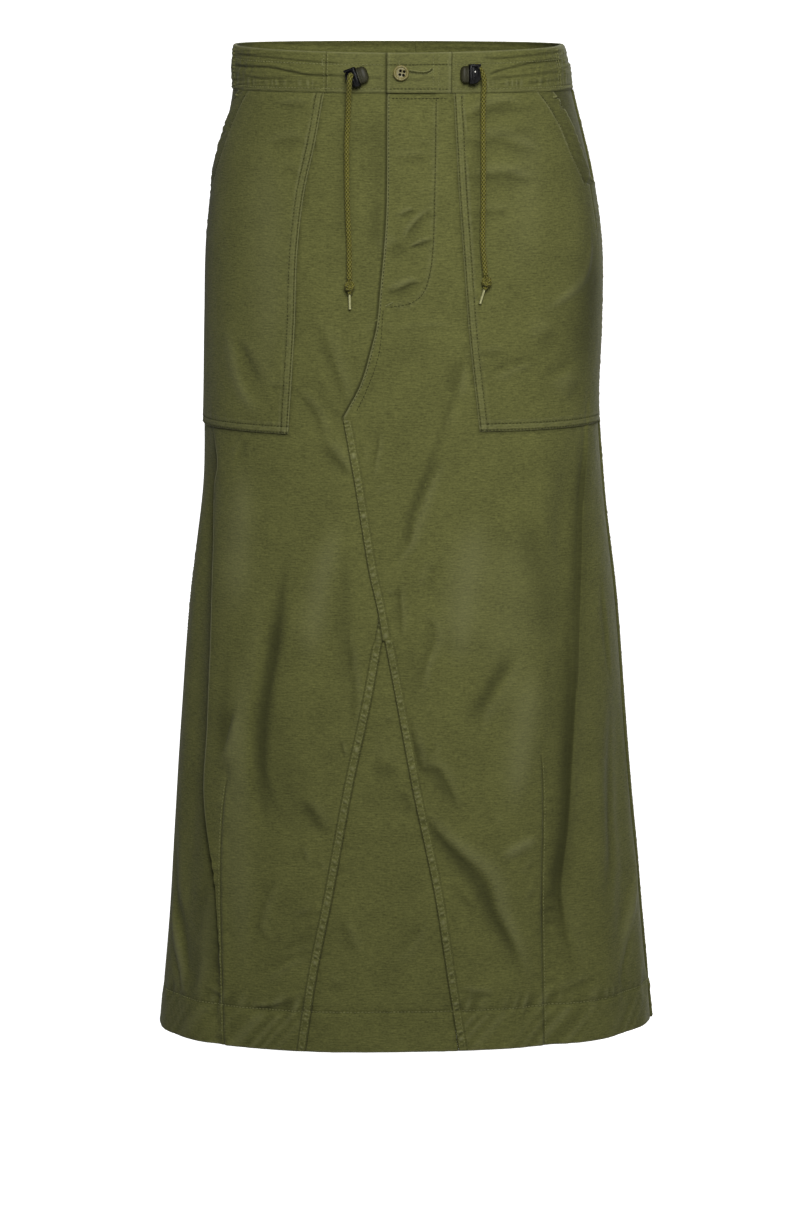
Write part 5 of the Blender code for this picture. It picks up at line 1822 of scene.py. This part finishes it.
def braided(name, points, radius, spacing=0.42, ring=40):
    """A braided cord through points in metres. Its bumps get painted highlight and its gaps painted shade."""

    def surface_radius(angle, gone):
        return radius - 0.05 + BRAID_HEIGHT * braid_bumps(angle, gone)

    path = even_path(points, spacing)
    rings, turns, gone = sweep(path, ring, surface_radius)
    bumps = braid_bumps(turns[None, :], gone[:, None])
    # Painted highlight on the bumps and painted shade in the gaps between them.
    marks = {"highlighted": np.clip(bumps, 0, 1) * 0.34, "deep": np.clip(-1.4 * bumps, 0, 1)}
    round_it, down_it = np.broadcast_arrays(radius * turns[None, :], -gone[:, None])
    return closed(name, rings, marks, np.stack([round_it, down_it], axis=-1) * MM), path


# %% Cords, knots and tips
KNOT_RADIUS = 5.3
# An overhand knot's path about its middle: across, up and out.
KNOT_PATH = (
    (0.0, 6.6, 0.0), (0.3, 4.2, 0.9), (1.6, 1.6, 2.3), (2.9, -0.8, 1.4), (1.6, -2.9, -0.9),
    (-1.2, -2.8, -1.7), (-3.0, -0.6, -0.4), (-2.2, 1.9, 1.5), (0.2, 2.6, 1.9), (2.6, 1.6, -0.2),
    (1.8, -0.2, -2.0), (-0.6, -1.4, -0.4), (-1.5, -2.9, 1.8), (-0.9, -4.6, 1.2), (0.0, -6.0, 0.2),
    (0.0, -7.6, 0.0),
)


def knot_points(knot, lower, tip_way, outwards, mirror):
    """The knot's path in metres. It leaves the knot bent towards the tip."""
    across_axis = lower.cross(outwards).normalized() * mirror
    outwards = across_axis.cross(-lower).normalized() * mirror
    turn = Matrix((across_axis, -lower, outwards)).transposed()
    points = []
    for x, y, z in KNOT_PATH:
        straight = knot + turn @ Vector((x, y, z)) * MM
        towards = knot + tip_way * (-y) * MM + turn @ Vector((x, 0, z)) * MM
        points.append(tuple(straight.lerp(towards, float(ramp(-y, 3.5, 7.6)))))
    return points


def drawcord(side, route, knot_at, tip_at, mirror):
    """One cord from its lock to its knot, the knot, and the metal tip."""
    points = [Vector(cloth_point(*place)) for place in route]
    knot, tip = Vector(cloth_point(*knot_at)), Vector(cloth_point(*tip_at))
    lower, tip_way = (knot - points[-1]).normalized(), (tip - knot).normalized()
    points[-1] = knot - lower * (KNOT_RADIUS + GAP) * MM
    mesh, path = braided("cord_" + side, [tuple(point) for point in points], CORD_RADIUS)
    cord = place_piece("cord_" + side, mesh, CORD_MATERIAL, ["cord_" + side])
    outwards = (Vector(cloth_point(*knot_at[:2], knot_at[2] + 1)) - knot).normalized()
    knot_path = knot_points(knot, lower, tip_way, outwards, mirror)
    knot_mesh, _ = braided("knot_" + side, knot_path, 1.95, 0.35, 32)
    knotted = place_piece("knot_" + side, knot_mesh, CORD_MATERIAL, ["knot_" + side])
    top = knot + tip_way * (KNOT_RADIUS + GAP) * MM
    length = (tip - top).length / MM
    profile = [(0.9, 0.0), (1.35, 0.15), (1.42, 0.5), (1.3, 0.8), (1.16, 1.3), (1.12, 2.2)]
    ends = ((1.12, 3.0), (1.16, 1.4), (1.3, 0.9), (1.36, 0.5), (1.2, 0.1), (0.5, 0.0))
    profile += [(radius, length - short) for radius, short in ends]
    tip_mesh = turn_profile("aglet_" + side, profile, aimed(top, tip_way), 32)
    aglet = place_piece("aglet_" + side, tip_mesh, BRASS, ["aglet_" + side])
    crisp(aglet, 40)


drawcord("left", CORD_LEFT, (-31.5, 218.0, 6.2), (-31.6, 239.8, 3.4), 1)
drawcord("right", CORD_RIGHT, (93.2, 213.5, 7.6), (87.6, 234.0, 4.2), -1)

# %% [markdown]
# ## The cut pieces
# Every cloth piece is a flat cut before it is sewn: two fronts, the godet, two backs and two pockets.

# %% Sheets
print("cut pieces: two fronts, godet, two backs, two pockets")

# %% [markdown]
# ## Floor
# A plain white floor under the skirt. It glows a little, so that it stays pale and even without a strong
# lamp, and its glow is kept off the cloth.

# %% Floor
FLOOR_Z, FLOOR_REACH = -1.08, 200.0
corners = [(x * FLOOR_REACH, y * FLOOR_REACH, FLOOR_Z) for x, y in ((-1, -1), (1, -1), (1, 1), (-1, 1))]
floor_mesh = bpy.data.meshes.new("floor")
floor_mesh.from_pydata(corners, [], [(0, 1, 2, 3)])
floor = bpy.data.objects.new("floor", floor_mesh)
bpy.context.scene.collection.objects.link(floor)
floor_material, tree, shader = new_material("pale_studio_floor")
settings = {"Base Color": linear("#FFFFFF"), "Emission Color": linear("#FFFFFF")}
set_inputs(shader, {**settings, "Emission Strength": 0.75, "Roughness": 0.9})
floor_mesh.materials.append(floor_material)
floor.visible_diffuse = False
print("floor at", FLOOR_Z, "m")

# %% [markdown]
# ## Light
# Soft light from the front: a large round lamp a little right of the camera, and a broad light from
# above it. Two weaker ones lift the right side and the back. The room is a dim, warm white, a little
# brighter overhead.

# %% Light
world = bpy.data.worlds.new("studio")
world.use_nodes = True
bpy.context.scene.world = world
background = world.node_tree.nodes["Background"]
background.inputs["Color"].default_value = linear("#F4F3EE")
place = add(world.node_tree, "TexCoord").outputs["Generated"]
direction = add(world.node_tree, "SeparateXYZ", links={0: place})
dim_to_bright = {"From Min": -0.3, "From Max": 0.9, "To Min": 0.08, "To Max": 0.18}
overhead = add(world.node_tree, "MapRange", dim_to_bright, {"Value": direction.outputs["Z"]})
world.node_tree.links.new(overhead.outputs[0], background.inputs["Strength"])


def lamp(name, kind, energy, size, place, target=(0, 0, 0)):
    """A lamp turned to a target. size is a disk's width in metres, or a sun's spread in degrees."""
    data = bpy.data.lights.new(name, kind)
    data.energy = energy
    if kind == "AREA":
        data.shape = "DISK"
        data.size = size
        data.spread = math.radians(65)
    else:
        data.angle = math.radians(size)
    made = bpy.data.objects.new(name, data)
    bpy.context.scene.collection.objects.link(made)
    made.location = place
    made.rotation_euler = (Vector(target) - Vector(place)).to_track_quat("-Z", "Y").to_euler()
    return made


lamp("front_lamp", "AREA", 7.1, 1.0, (0.44, -2.2, 0.8), (0, 0, -0.28))
lamp("top_light", "SUN", 0.72, 18, (0.5, -2.0, 2.1))
lamp("side_light", "SUN", 0.24, 25, (2.4, -0.65, 0.7))
lamp("back_light", "SUN", 1.7, 25, (0.6, 2.4, 1.1))
print("lamps:", len(bpy.data.lights))

# %% [markdown]
# ## Camera
# The camera stands 4.5 m away, a little right of the front and a little above it, behind a long lens.

# %% Camera
PICTURE_HEIGHT, SENSOR = 1213, 36.0
camera_data = bpy.data.cameras.new("camera")
camera_data.lens = 4702 * SENSOR / PICTURE_HEIGHT
camera_data.shift_x = -2 / PICTURE_HEIGHT
camera = bpy.data.objects.new("camera", camera_data)
bpy.context.scene.collection.objects.link(camera)
azimuth, elevation, distance = math.radians(7.5), math.radians(8.5), 4.5
target = Vector((0, 0, -0.535))
level = Vector((math.sin(azimuth), -math.cos(azimuth), 0)) * math.cos(elevation)
camera.location = target + distance * (level + Vector((0, 0, math.sin(elevation))))
camera.rotation_euler = (target - camera.location).to_track_quat("-Z", "Y").to_euler()
bpy.context.scene.camera = camera
bpy.context.scene.view_settings.view_transform = "Standard"
print("camera lens:", round(camera_data.lens, 1), "mm")
